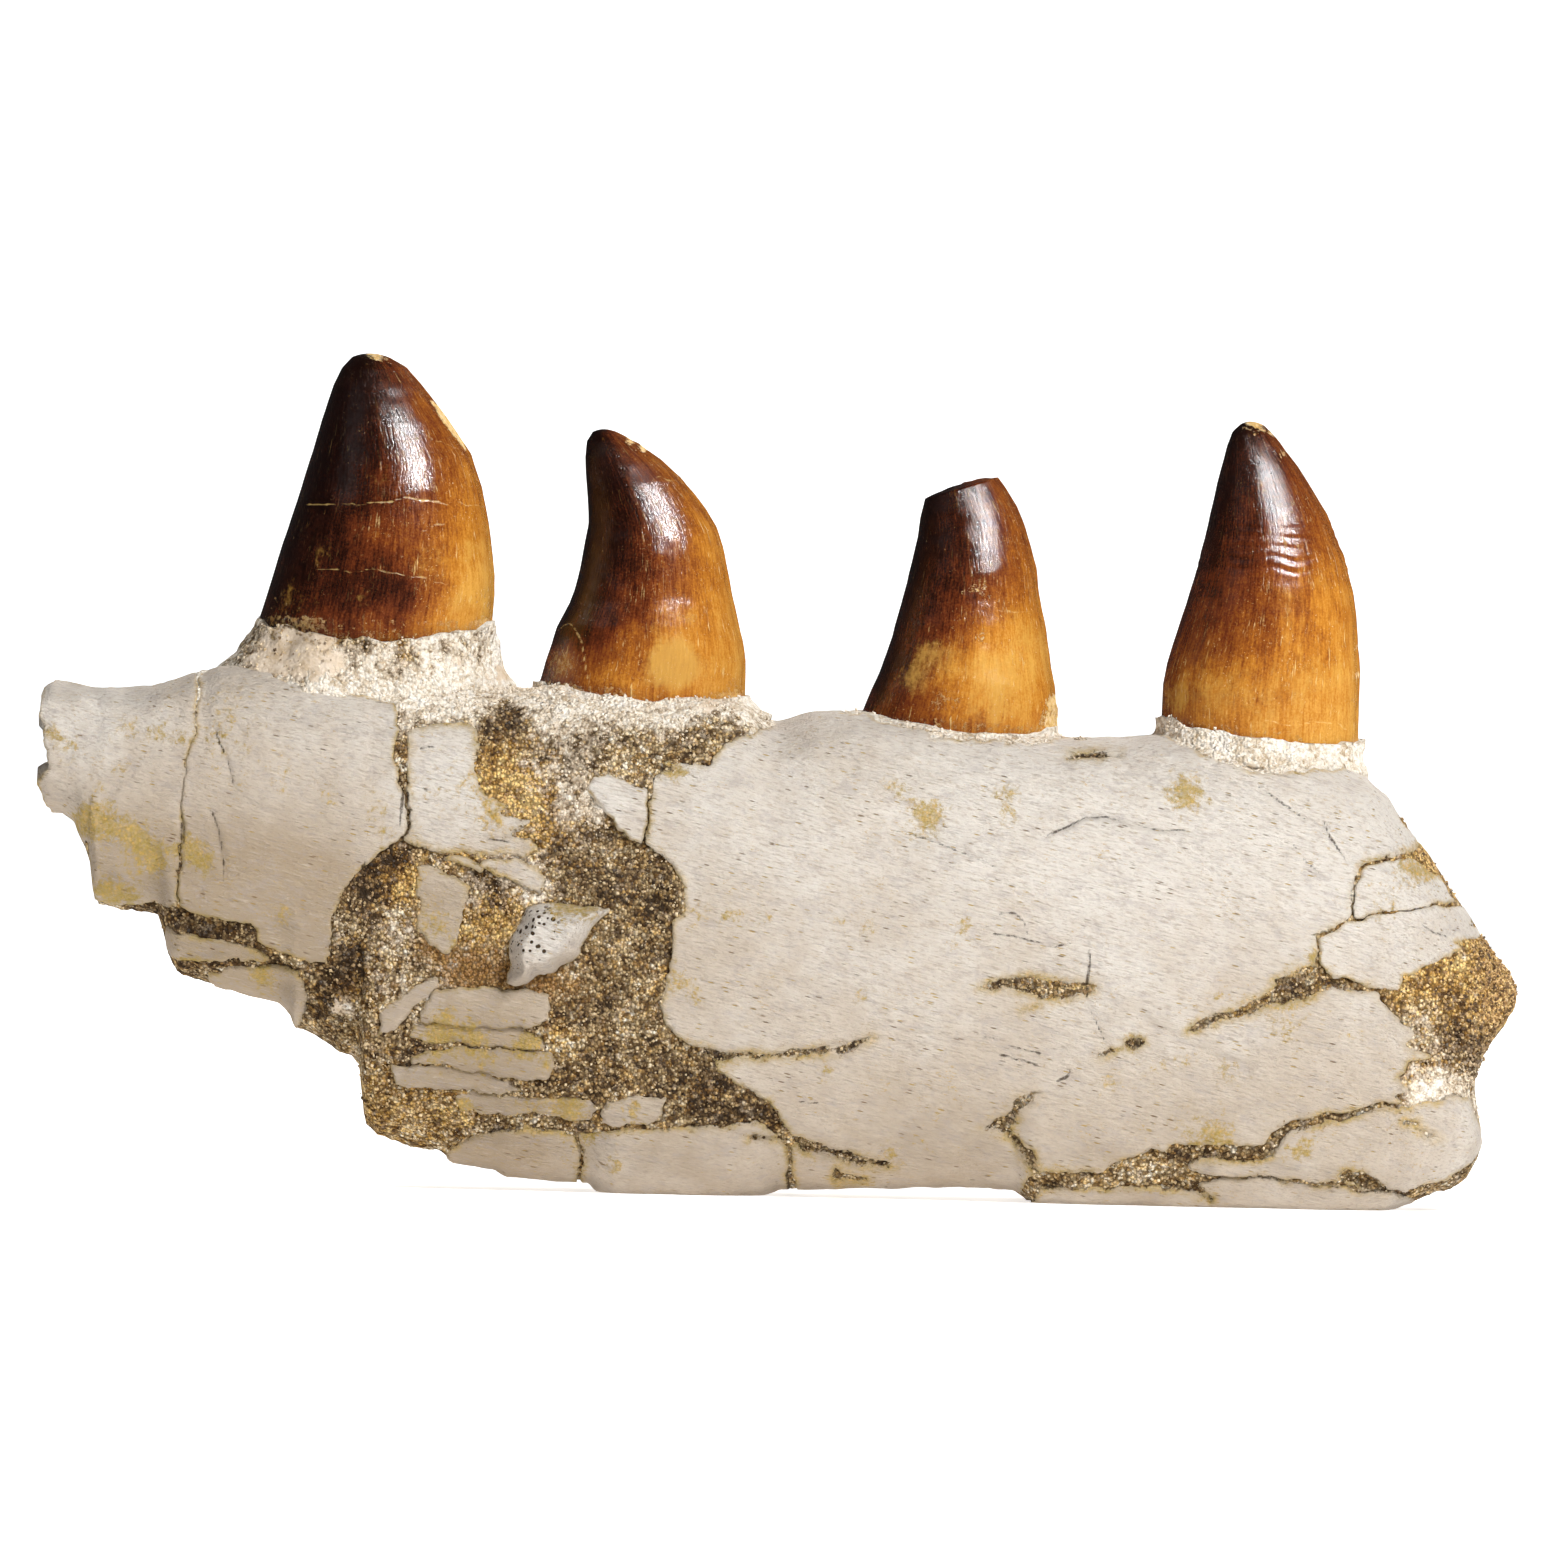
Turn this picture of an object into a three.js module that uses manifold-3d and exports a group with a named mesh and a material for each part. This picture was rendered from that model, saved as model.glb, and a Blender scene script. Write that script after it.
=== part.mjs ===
// A fossil mosasaur jaw: a length of tooth-bearing jaw with four worn teeth. Its bone is broken
// into plates, slivers and chips, and a sandy rock still holds them together. It stands on its
// flattened lower edge, the keel.
// Millimetres. +X runs along the jaw, -Y is the side that is shown and +Z is up.
// The origin is on the resting face, under the middle of the jaw.
import * as THREE from "three";
import { mergeVertices } from "three/addons/utils/BufferGeometryUtils.js";
import Module from "manifold-3d";

const wasm = await Module();
wasm.setup();

// Driving dimensions of the jaw's body
const FRONT = -1;
const BACK = 1;
const KEEL_POWER = 2.8; // 2 would be an ellipse, and more is boxier
const CREST_POWER = 4; // the upper half is boxier, because it holds the teeth
const SECTION_ASPECT = 0.55; // thickness over height, used only to pace steps round a section
const SECTION_SAMPLES = 180;
const UPPER_LEAN = 0.1; // share of its thickness that the jaw loses from keel to crest
const GAP = 0.65; // clearance between a piece and the pocket that holds it
const FLOOR_GAP = 1.0; // and under a plate
const FLOOR_BLOCK = { length: 400, width: 200, depth: 60 }; // cuts the keel flat
const ROCK_RECESS = 1.0; // how far the rock lies behind the bone's face
const ROCK_EDGE_RECESS = 0.2; // and at the crest and keel
const ROCK_ROUGHNESS = 0.35;
const ROCK_STEPS_ROUND = 16;
const LEAST_ACROSS = 3; // facets along a plate, at least
const LEAST_UP = 2; // and up it
const POCKET_REACH = 2.5; // how far a pocket's cutter stands out of the rock
const CLEARING_REACH = 5; // and a second one, under the feet of the teeth, which overhang it
const FEET_FROM = 60; // height from which a foot can overhang a plate

// Outline of the jaw seen from the front, as [x, z]
const CREST = [
  [-111.5, 73.8], [-110.2, 74.8], [-108, 74.5], [-104, 74], [-99, 74.1], [-95, 74.6], [-91, 75.6],
  [-88, 76.7], [-85, 77.4], [-80, 77.6], [-75, 77.3], [-65, 77], [-55, 76.6], [-48, 76],
  [-41, 75.2], [-38, 75.6], [-34, 76.2], [-28, 75.8], [-18, 75.4], [-9, 74.8], [-6, 73.6],
  [-4, 72], [-1.5, 71.2], [1, 71.8], [4, 72.7], [7, 72.9], [12, 72.9], [17, 72.4], [25, 71.6],
  [34, 70.6], [41, 69.7], [50, 69.8], [56, 70.6], [64, 70.2], [74, 69], [82, 67.4], [87, 65.2],
  [90, 62.4], [92, 59.6], [94.5, 56.2], [97, 52.9], [100, 48.2], [104, 43], [107.2, 38.6],
  [109, 36.5], [110.5, 33.4],
];
const KEEL = [
  [-111.5, 56.5], [-110.5, 55], [-108, 54.6], [-106.3, 53.2], [-105.2, 50.3], [-104.2, 49.4],
  [-103.6, 44], [-103, 41.2], [-100, 40.2], [-96, 39.8], [-93.6, 39.2], [-93, 37.8],
  [-92.2, 34.2], [-91.2, 31.6], [-90.2, 30.1], [-86, 29.6], [-82, 28.7], [-75.2, 27.3],
  [-73.8, 25.8], [-72.8, 23.8], [-70, 22.9], [-67.8, 21.2], [-66, 19.9], [-64, 19.2],
  [-62.8, 17.6], [-62.3, 12], [-61.8, 9.2], [-60, 7.5], [-55, 6.1], [-50.2, 5.3], [-49, 4],
  [-42.3, 2.9], [-40.5, 1.9], [-30.5, 1.3], [-28.2, 1.4], [-26.4, -0.6], [-24, -2], [-8, -2],
  [-3, -0.6], [0.5, 0.9], [10, 1.2], [20, 1.8], [30, 1.8], [35.6, 1.5], [36.8, 0.3],
  [38.2, -1.6], [45, -2.4], [84, -2.4], [91, -1.2], [94.5, 0.6], [98, 1.8], [101, 3.2],
  [103, 4.9], [104.2, 8], [104.8, 13], [105.2, 19], [105.9, 23.2], [107, 25.6], [108.6, 27.6],
  [110.5, 31],
];
const HALF_THICKNESS = [
  [-111.5, 10.5], [-100, 13], [-80, 17], [-60, 19.5], [-30, 20.5], [0, 21], [40, 21.5],
  [72, 21.5], [90, 20], [103, 15.5], [108, 11], [110.5, 6],
];
// The broken right end swells and pinches with height, as [z, shift]
const END_LOBES = [[0, 0], [6, 0.6], [10.5, 1.2], [15, 0], [18.5, -1.3], [22, -0.6], [26, 0]];
const END_LOBES_FROM = 97;
const END_LOBES_FULL = 104;
const ROCK_STATIONS = [
  -110.8, -108, -106.3, -104.2, -103, -98, -93.6, -92.2, -90.2, -82, -75.2, -72.8, -67.8,
  -64, -62.8, -61.8, -55, -49.5, -40.5, -29, -26.4, -24, -8, -3, 0.5, 12, 24, 36, 38.2, 50, 68,
  84, 90, 95, 100, 103, 104.8, 105.9, 108, 110.4,
];

// Materials
const BONE = new THREE.MeshStandardMaterial({ color: 0xe2dccf, roughness: 0.82, metalness: 0 });
const ROCK = new THREE.MeshStandardMaterial({ color: 0x8d7d5f, roughness: 0.95, metalness: 0 });
const ENAMEL = new THREE.MeshStandardMaterial({ color: 0x7a3f14, roughness: 0.28, metalness: 0 });

// A value at x from a table of [x, value] rows, straight between the rows.
function lookUp(table, x) {
  if (x <= table[0][0]) return table[0][1];
  for (let i = 1; i < table.length; i++) {
    const [x0, v0] = table[i - 1];
    const [x1, v1] = table[i];
    if (x <= x1) return v0 + ((v1 - v0) * (x - x0)) / (x1 - x0);
  }
  return table[table.length - 1][1];
}

// Walks up the front half of a superellipse, and notes for each step the share of the way
// covered, how high it is (-1 keel, 1 crest) and how far out (0 edge, 1 widest).
function walkSection() {
  const steps = [];
  let way = 0;
  for (let i = 0; i <= SECTION_SAMPLES; i++) {
    const angle = -Math.PI / 2 + (Math.PI * i) / SECTION_SAMPLES;
    const power = angle < 0 ? KEEL_POWER : CREST_POWER;
    const up = Math.sign(Math.sin(angle)) * Math.abs(Math.sin(angle)) ** (2 / power);
    const out = Math.abs(Math.cos(angle)) ** (2 / power);
    if (i > 0) {
      const last = steps[i - 1];
      way += Math.hypot(up - last.up, SECTION_ASPECT * (out - last.out));
    }
    steps.push({ way, up, out });
  }
  return {
    upAt: steps.map((s) => [s.way / way, s.up]),
    outAt: steps.map((s) => [s.way / way, s.out]),
    girthAt: steps.map((s) => [s.up, s.way / way]),
  };
}
const SECTION = walkSection();

// Girth is the place round a section: 0 at the keel, 1 at the crest by way of the front,
// and on to 2 down the back.
function girthOf(x, z, side) {
  const top = lookUp(CREST, x);
  const bottom = lookUp(KEEL, x);
  let height = z;
  let face = side;
  if (height > top) {
    height = 2 * top - height; // what passes the crest folds over it
    face = -side;
  } else if (height < bottom) {
    height = 2 * bottom - height; // and what passes the keel folds under it
    face = -side;
  }
  const up = THREE.MathUtils.clamp((2 * (height - bottom)) / (top - bottom) - 1, -1, 1);
  const girth = lookUp(SECTION.girthAt, up);
  if (face === side) return side === FRONT ? girth : 2 - girth;
  if (z > top) return side === FRONT ? 2 - girth : girth;
  return side === FRONT ? -girth : 2 + girth;
}

// A point of the jaw's surface, or of the same surface shrunk by depth.
function surfacePoint(x, girth, depth) {
  const turned = ((girth % 2) + 2) % 2;
  const side = turned <= 1 ? FRONT : BACK;
  const half = turned <= 1 ? turned : 2 - turned;
  const up = lookUp(SECTION.upAt, half);
  const out = lookUp(SECTION.outAt, half);
  const top = lookUp(CREST, x) - depth;
  const bottom = lookUp(KEEL, x) + depth;
  const z = (top + bottom) / 2 + (up * (top - bottom)) / 2;
  const lean = 1 - UPPER_LEAN * ((1 + up) / 2 - 0.4);
  const y = side * (lookUp(HALF_THICKNESS, x) - depth) * out * lean;
  const towardsEnd = THREE.MathUtils.smoothstep(x, END_LOBES_FROM, END_LOBES_FULL);
  return new THREE.Vector3(x + towardsEnd * lookUp(END_LOBES, z), y, z);
}

// A repeatable value from -1 to 1 for a place, used to roughen the rock.
function roughnessAt(a, b) {
  const wave = Math.sin(a * 12.9898 + b * 78.233) * 43758.5453;
  return 2 * (wave - Math.floor(wave)) - 1;
}

// Solids
function solidOf(points, triangles) {
  const make = (order) =>
    new wasm.Manifold(
      new wasm.Mesh({
        numProp: 3,
        vertProperties: new Float32Array(points.flatMap((p) => [p.x, p.y, p.z])),
        triVerts: new Uint32Array(order.flat()),
      }),
    );
  const solid = make(triangles);
  return solid.volume() > 0 ? solid : make(triangles.map(([a, b, c]) => [a, c, b]));
}

function ofGeometry(geometry) {
  geometry.deleteAttribute("normal");
  geometry.deleteAttribute("uv");
  const merged = mergeVertices(geometry, 1e-3);
  return new wasm.Manifold(
    new wasm.Mesh({
      numProp: 3,
      vertProperties: merged.attributes.position.array,
      triVerts: new Uint32Array(merged.index.array),
    }),
  );
}

// Closed skin over a row of rings with the same number of points, and a pole at each end.
function skin(firstPole, rings, lastPole) {
  const count = rings[0].length;
  const points = [firstPole, ...rings.flat(), lastPole];
  const last = points.length - 1;
  const at = (ring, i) => 1 + ring * count + (i % count);
  const triangles = [];
  for (let i = 0; i < count; i++) {
    triangles.push([0, at(0, i + 1), at(0, i)]);
    triangles.push([last, at(rings.length - 1, i), at(rings.length - 1, i + 1)]);
    for (let ring = 0; ring + 1 < rings.length; ring++) {
      triangles.push([at(ring, i), at(ring, i + 1), at(ring + 1, i)]);
      triangles.push([at(ring, i + 1), at(ring + 1, i + 1), at(ring + 1, i)]);
    }
  }
  return solidOf(points, triangles);
}

// Closed slab between a face and an underside, both grids of columns by rows.
function slab({ face, underside }) {
  const columns = face.length;
  const rows = face[0].length;
  const points = [...face.flat(), ...underside.flat()];
  const upper = (i, j) => i * rows + j;
  const lower = (i, j) => columns * rows + i * rows + j;
  const triangles = [];
  for (let i = 0; i + 1 < columns; i++) {
    for (let j = 0; j + 1 < rows; j++) {
      triangles.push([upper(i, j), upper(i + 1, j), upper(i + 1, j + 1)]);
      triangles.push([upper(i, j), upper(i + 1, j + 1), upper(i, j + 1)]);
      triangles.push([lower(i, j), lower(i + 1, j + 1), lower(i + 1, j)]);
      triangles.push([lower(i, j), lower(i, j + 1), lower(i + 1, j + 1)]);
    }
  }
  const wall = (a, b, c, d) => triangles.push([a, c, b], [b, c, d]);
  for (let i = 0; i + 1 < columns; i++) {
    wall(upper(i, 0), upper(i + 1, 0), lower(i, 0), lower(i + 1, 0));
    wall(upper(i + 1, rows - 1), upper(i, rows - 1), lower(i + 1, rows - 1), lower(i, rows - 1));
  }
  for (let j = 0; j + 1 < rows; j++) {
    wall(upper(0, j + 1), upper(0, j), lower(0, j + 1), lower(0, j));
    wall(upper(columns - 1, j), upper(columns - 1, j + 1), lower(columns - 1, j), lower(columns - 1, j + 1));
  }
  return solidOf(points, triangles);
}

// Adds points to an open path, each in the middle of the longest stretch, until it has enough.
function withMorePoints(path, enough) {
  const points = [...path];
  while (points.length < enough) {
    const lengths = points.slice(1).map((p, i) => Math.hypot(p[0] - points[i][0], p[1] - points[i][1]));
    const longest = lengths.indexOf(Math.max(...lengths));
    const [from, to] = [points[longest], points[longest + 1]];
    points.splice(longest + 1, 0, [(from[0] + to[0]) / 2, (from[1] + to[1]) / 2]);
  }
  return points;
}

// Gives opposite sides of an outline the same number of points.
function balanced(outline) {
  const closed = outline.map((edge, i) => [...edge, outline[(i + 1) % 4][0]]);
  return closed.map((edge, i) => {
    const least = i % 2 === 0 ? LEAST_ACROSS : LEAST_UP;
    const enough = Math.max(edge.length, closed[(i + 2) % 4].length, least + 1);
    return withMorePoints(edge, enough).slice(0, -1);
  });
}

// Coons patch: fills a balanced outline with a grid of [x, girth] places.
function fillOutline([bottom, right, top, left], side) {
  const toGirth = ([x, z]) => [x, girthOf(x, z, side)];
  const low = [...bottom, right[0]].map(toGirth);
  const far = [...right, top[0]].map(toGirth);
  const high = [...top, left[0]].reverse().map(toGirth);
  const near = [...left, bottom[0]].reverse().map(toGirth);
  const columns = bottom.length;
  const rows = right.length;
  return low.map((_, i) =>
    far.map((_, j) => {
      const s = i / columns;
      const t = j / rows;
      const [x, girth] = [0, 1].map((k) => {
        const edges = (1 - t) * low[i][k] + t * high[i][k] + (1 - s) * near[j][k] + s * far[j][k];
        const lowCorners = (1 - s) * low[0][k] + s * low[columns][k];
        const highCorners = (1 - s) * high[0][k] + s * high[columns][k];
        return edges - (1 - t) * lowCorners - t * highCorners;
      });
      return { x, girth, s, t };
    }),
  );
}

// The two sides of a bone plate: the part of the jaw's surface inside an outline, and the same
// part thick mm deeper. lift(s, t) raises the face, where s and t run from 0 to 1 across the
// outline and up it.
function plateGrids({ outline, side = FRONT, thick, lift = () => 0 }) {
  const places = fillOutline(balanced(outline), side);
  const onEach = (depth) => places.map((column) => column.map((p) => surfacePoint(p.x, p.girth, depth(p))));
  return { face: onEach((p) => -lift(p.s, p.t)), underside: onEach(() => thick) };
}

// The direction that points away from the inside of a grid along its surface, square to the
// edge, at a vertex of the edge. step gives the neighbours along and inwards.
function awayFromEdge(before, here, after, inner) {
  const tangent = after.clone().sub(before).normalize();
  const away = here.clone().sub(inner);
  return away.addScaledVector(tangent, -away.dot(tangent)).normalize();
}

// What is cut out of the rock to hold a plate: the plate's own shape, wider and deeper by the
// gaps, and reaching out past the rock's face.
function pocketGrids({ face, underside }, reach) {
  const last = { i: face.length - 1, j: face[0].length - 1 };
  const at = (grid, i, j) => grid[THREE.MathUtils.clamp(i, 0, last.i)][THREE.MathUtils.clamp(j, 0, last.j)];
  const moved = (grid, risesBy) =>
    grid.map((column, i) =>
      column.map((point, j) => {
        const across = at(face, i + 1, j).clone().sub(at(face, i - 1, j));
        const up = at(face, i, j + 1).clone().sub(at(face, i, j - 1));
        const normal = across.cross(up).normalize();
        const rise = at(face, i, j).clone().sub(at(underside, i, j)).normalize();
        const slope = Math.max(0.4, Math.abs(normal.dot(rise)));
        const result = point.clone().addScaledVector(rise, risesBy / slope);
        const ways = [];
        if (i === 0 || i === last.i) {
          const inner = at(grid, i === 0 ? 1 : i - 1, j);
          ways.push(awayFromEdge(at(grid, i, j - 1), point, at(grid, i, j + 1), inner));
        }
        if (j === 0 || j === last.j) {
          const inner = at(grid, i, j === 0 ? 1 : j - 1);
          ways.push(awayFromEdge(at(grid, i - 1, j), point, at(grid, i + 1, j), inner));
        }
        const mitre = ways.length === 2 ? 1 / Math.max(0.5, 1 + ways[0].dot(ways[1])) : 1;
        for (const way of ways) result.addScaledVector(way, GAP * mitre);
        return result;
      }),
    );
  return { face: moved(face, reach), underside: moved(underside, -FLOOR_GAP) };
}

// Teeth. Each crown is a row of slices from its base to its tip. A slice goes from a point of
// the left edge to a point of the right edge, both [x, z].
const TOOTH_SIDES = 14;
const ROOT_DEPTH = 13;
const ROOT_TAPER = 0.72;
const THICKNESS_FOLLOWS_WIDTH = 0.85; // power that ties a slice's thickness to its width
const COLLAR_LIP = 0.9; // width of the collar's upper edge round the crown
const COLLAR_CURVE = 1.8; // 1 flares straight out, and more is hollower
const COLLAR_BURIED = 7; // how far the collar reaches down inside the jaw
const TEETH = {
  tooth_1: {
    halfThickness: 13.5, tip: [-63.2, 124.9],
    collar: { height: 9.5, left: 8, right: 3, across: 1.6 },
    slices: [
      [[-79.4, 85.6], [-44.8, 85.2]], [[-78.2, 90], [-44.3, 90]], [[-76.6, 95], [-44.8, 95]],
      [[-75, 100], [-45.4, 100.5]], [[-73.3, 105], [-46.6, 105.8]], [[-71.6, 110], [-48.6, 110.6]],
      [[-70, 115], [-51.8, 115]], [[-68.6, 119], [-55, 119]], [[-67.2, 122], [-58.3, 122]],
      [[-65.7, 124], [-60.9, 123.9]],
    ],
  },
  tooth_2: {
    halfThickness: 12, tip: [-29.3, 114],
    collar: { height: 3, left: 1.4, right: 4, across: 1.8 },
    slices: [
      [[-37.3, 76.4], [-6.4, 75]], [[-35.8, 80.5], [-6.6, 79]], [[-34.6, 85], [-7, 83]],
      [[-32.2, 90], [-8, 88.5]], [[-31.2, 95], [-9.3, 94]], [[-30.8, 99.5], [-10.8, 99.5]],
      [[-30.6, 104], [-13.8, 103.8]], [[-30.5, 108], [-18.5, 108.2]],
      [[-30.6, 111], [-23.2, 111.7]], [[-30.4, 112.8], [-26.5, 113.4]],
    ],
  },
  tooth_3: {
    halfThickness: 11.5, tip: [25, 107.2],
    collar: { height: 2.6, left: 3, right: 1.6, across: 2 },
    slices: [
      [[11.3, 73.2], [40.2, 71.4]], [[13, 77], [39.6, 76]], [[14.7, 81], [39, 80.5]],
      [[16.3, 87], [37.9, 87]], [[17.8, 94], [36.7, 94.6]], [[18.8, 100], [34.9, 101]],
      [[19.4, 103], [32.9, 105]], [[19.8, 105.2], [30.2, 108.6]],
    ],
  },
  tooth_4: {
    halfThickness: 12.5, tip: [68.7, 118],
    collar: { height: 4.6, left: 2, right: 3.4, across: 2.4 },
    slices: [
      [[56.2, 74], [85.4, 70]], [[56.2, 77.5], [85.5, 75]], [[56.8, 81.5], [85.3, 80]],
      [[58.4, 87], [84.9, 86.5]], [[60, 92.5], [84.2, 92.5]], [[61.5, 98], [82.6, 98.5]],
      [[63, 104.5], [79.8, 104.5]], [[64.2, 110], [76.4, 110.2]], [[65.4, 114.3], [73, 114]],
      [[66.4, 116.4], [71.2, 116.4]],
    ],
  },
};

// An oval ring in the plane that holds Y and the line from the left point to the right point.
function ring([left, right], halfThickness, reach, drop) {
  const centre = new THREE.Vector3((left[0] + right[0]) / 2, 0, (left[1] + right[1]) / 2 - drop);
  const half = new THREE.Vector3((right[0] - left[0]) / 2, 0, (right[1] - left[1]) / 2);
  half.setLength(half.length() + reach);
  return Array.from({ length: TOOTH_SIDES }, (_, i) => {
    const angle = (2 * Math.PI * i) / TOOTH_SIDES;
    const point = centre.clone().addScaledVector(half, Math.cos(angle));
    point.y = -(halfThickness + reach) * Math.sin(angle);
    return point;
  });
}

function middleOf(points) {
  return points.reduce((sum, p) => sum.add(p), new THREE.Vector3()).divideScalar(points.length);
}

// The crown and the root that is hidden in its socket, spare mm larger all over for the socket.
function toothSolid({ slices, halfThickness, tip }, spare = 0) {
  const width = ([left, right]) => Math.hypot(right[0] - left[0], right[1] - left[1]);
  const crown = slices.map((slice) => {
    const share = (width(slice) / width(slices[0])) ** THICKNESS_FOLLOWS_WIDTH;
    return ring(slice, halfThickness * share, spare, 0);
  });
  const neck = width(slices[0]) / 2;
  const rootEnd = ring(
    slices[0], halfThickness * ROOT_TAPER, -neck * (1 - ROOT_TAPER) + spare, ROOT_DEPTH + spare,
  );
  const rootMiddle = ring(slices[0], halfThickness, -0.5 + spare, ROOT_DEPTH / 2);
  const top = new THREE.Vector3(tip[0], 0, tip[1] + spare);
  return skin(middleOf(rootEnd), [rootEnd, rootMiddle, ...crown], top);
}

// The raised foot of rock and bone round the base of a tooth. It flares out down to the jaw, by
// its own amount to the left, to the right and across the jaw.
function collarSolid({ slices, halfThickness, collar }) {
  const [from, to] = slices[0];
  const foot = ({ share, more }) => {
    const [left, right, across] = [collar.left, collar.right, collar.across].map(
      (flare) => COLLAR_LIP + flare * share ** COLLAR_CURVE,
    );
    const wider = [[from[0] - left, from[1]], [to[0] + right, to[1]]];
    return ring(wider, halfThickness + across, 0, share * collar.height + more);
  };
  const rings = [
    { share: 0.05, more: 0 },
    { share: 0.5, more: 0 },
    { share: 1, more: 0 },
    { share: 1, more: COLLAR_BURIED },
  ].map(foot);
  return skin(middleOf(rings[0]), rings, middleOf(rings[rings.length - 1]));
}

// The rock, with its surface behind the bone's except at the crest, the keel and the right end.
function rockSolid() {
  const recess = (x, girth) => {
    const half = girth <= 1 ? girth : 2 - girth;
    const up = lookUp(SECTION.upAt, half);
    const atEnd = 1 - THREE.MathUtils.smoothstep(x, 95, 100);
    return ROCK_EDGE_RECESS + (ROCK_RECESS - ROCK_EDGE_RECESS) * (1 - Math.abs(up) ** 6) * atEnd;
  };
  const rings = ROCK_STATIONS.map((x) =>
    Array.from({ length: ROCK_STEPS_ROUND }, (_, i) => {
      const girth = (2 * i) / ROCK_STEPS_ROUND;
      return surfacePoint(x, girth, recess(x, girth) + ROCK_ROUGHNESS * roughnessAt(x, girth));
    }),
  );
  const capOf = (points, share, shift) => {
    const middle = middleOf(points);
    return points.map((p) => middle.clone().lerp(p, share).add(new THREE.Vector3(shift, 0, 0)));
  };
  const first = rings[0];
  const last = rings[rings.length - 1];
  return skin(
    middleOf(first).add(new THREE.Vector3(-0.5, 0, 0)),
    [capOf(first, 0.55, -0.4), ...rings, capOf(last, 0.6, 0.25)],
    middleOf(last).add(new THREE.Vector3(0.3, 0, 0)),
  );
}

// The standing chip rises out of the rock to a ridge this high.
const CHIP_RIDGE = 4.3;
function chipLift(s, t) {
  const lengthwise = Math.sin(Math.PI * (0.15 + 0.85 * s));
  const crosswise = 0.35 + 0.65 * Math.sin(Math.PI * t);
  return CHIP_RIDGE * lengthwise * crosswise;
}

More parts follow.
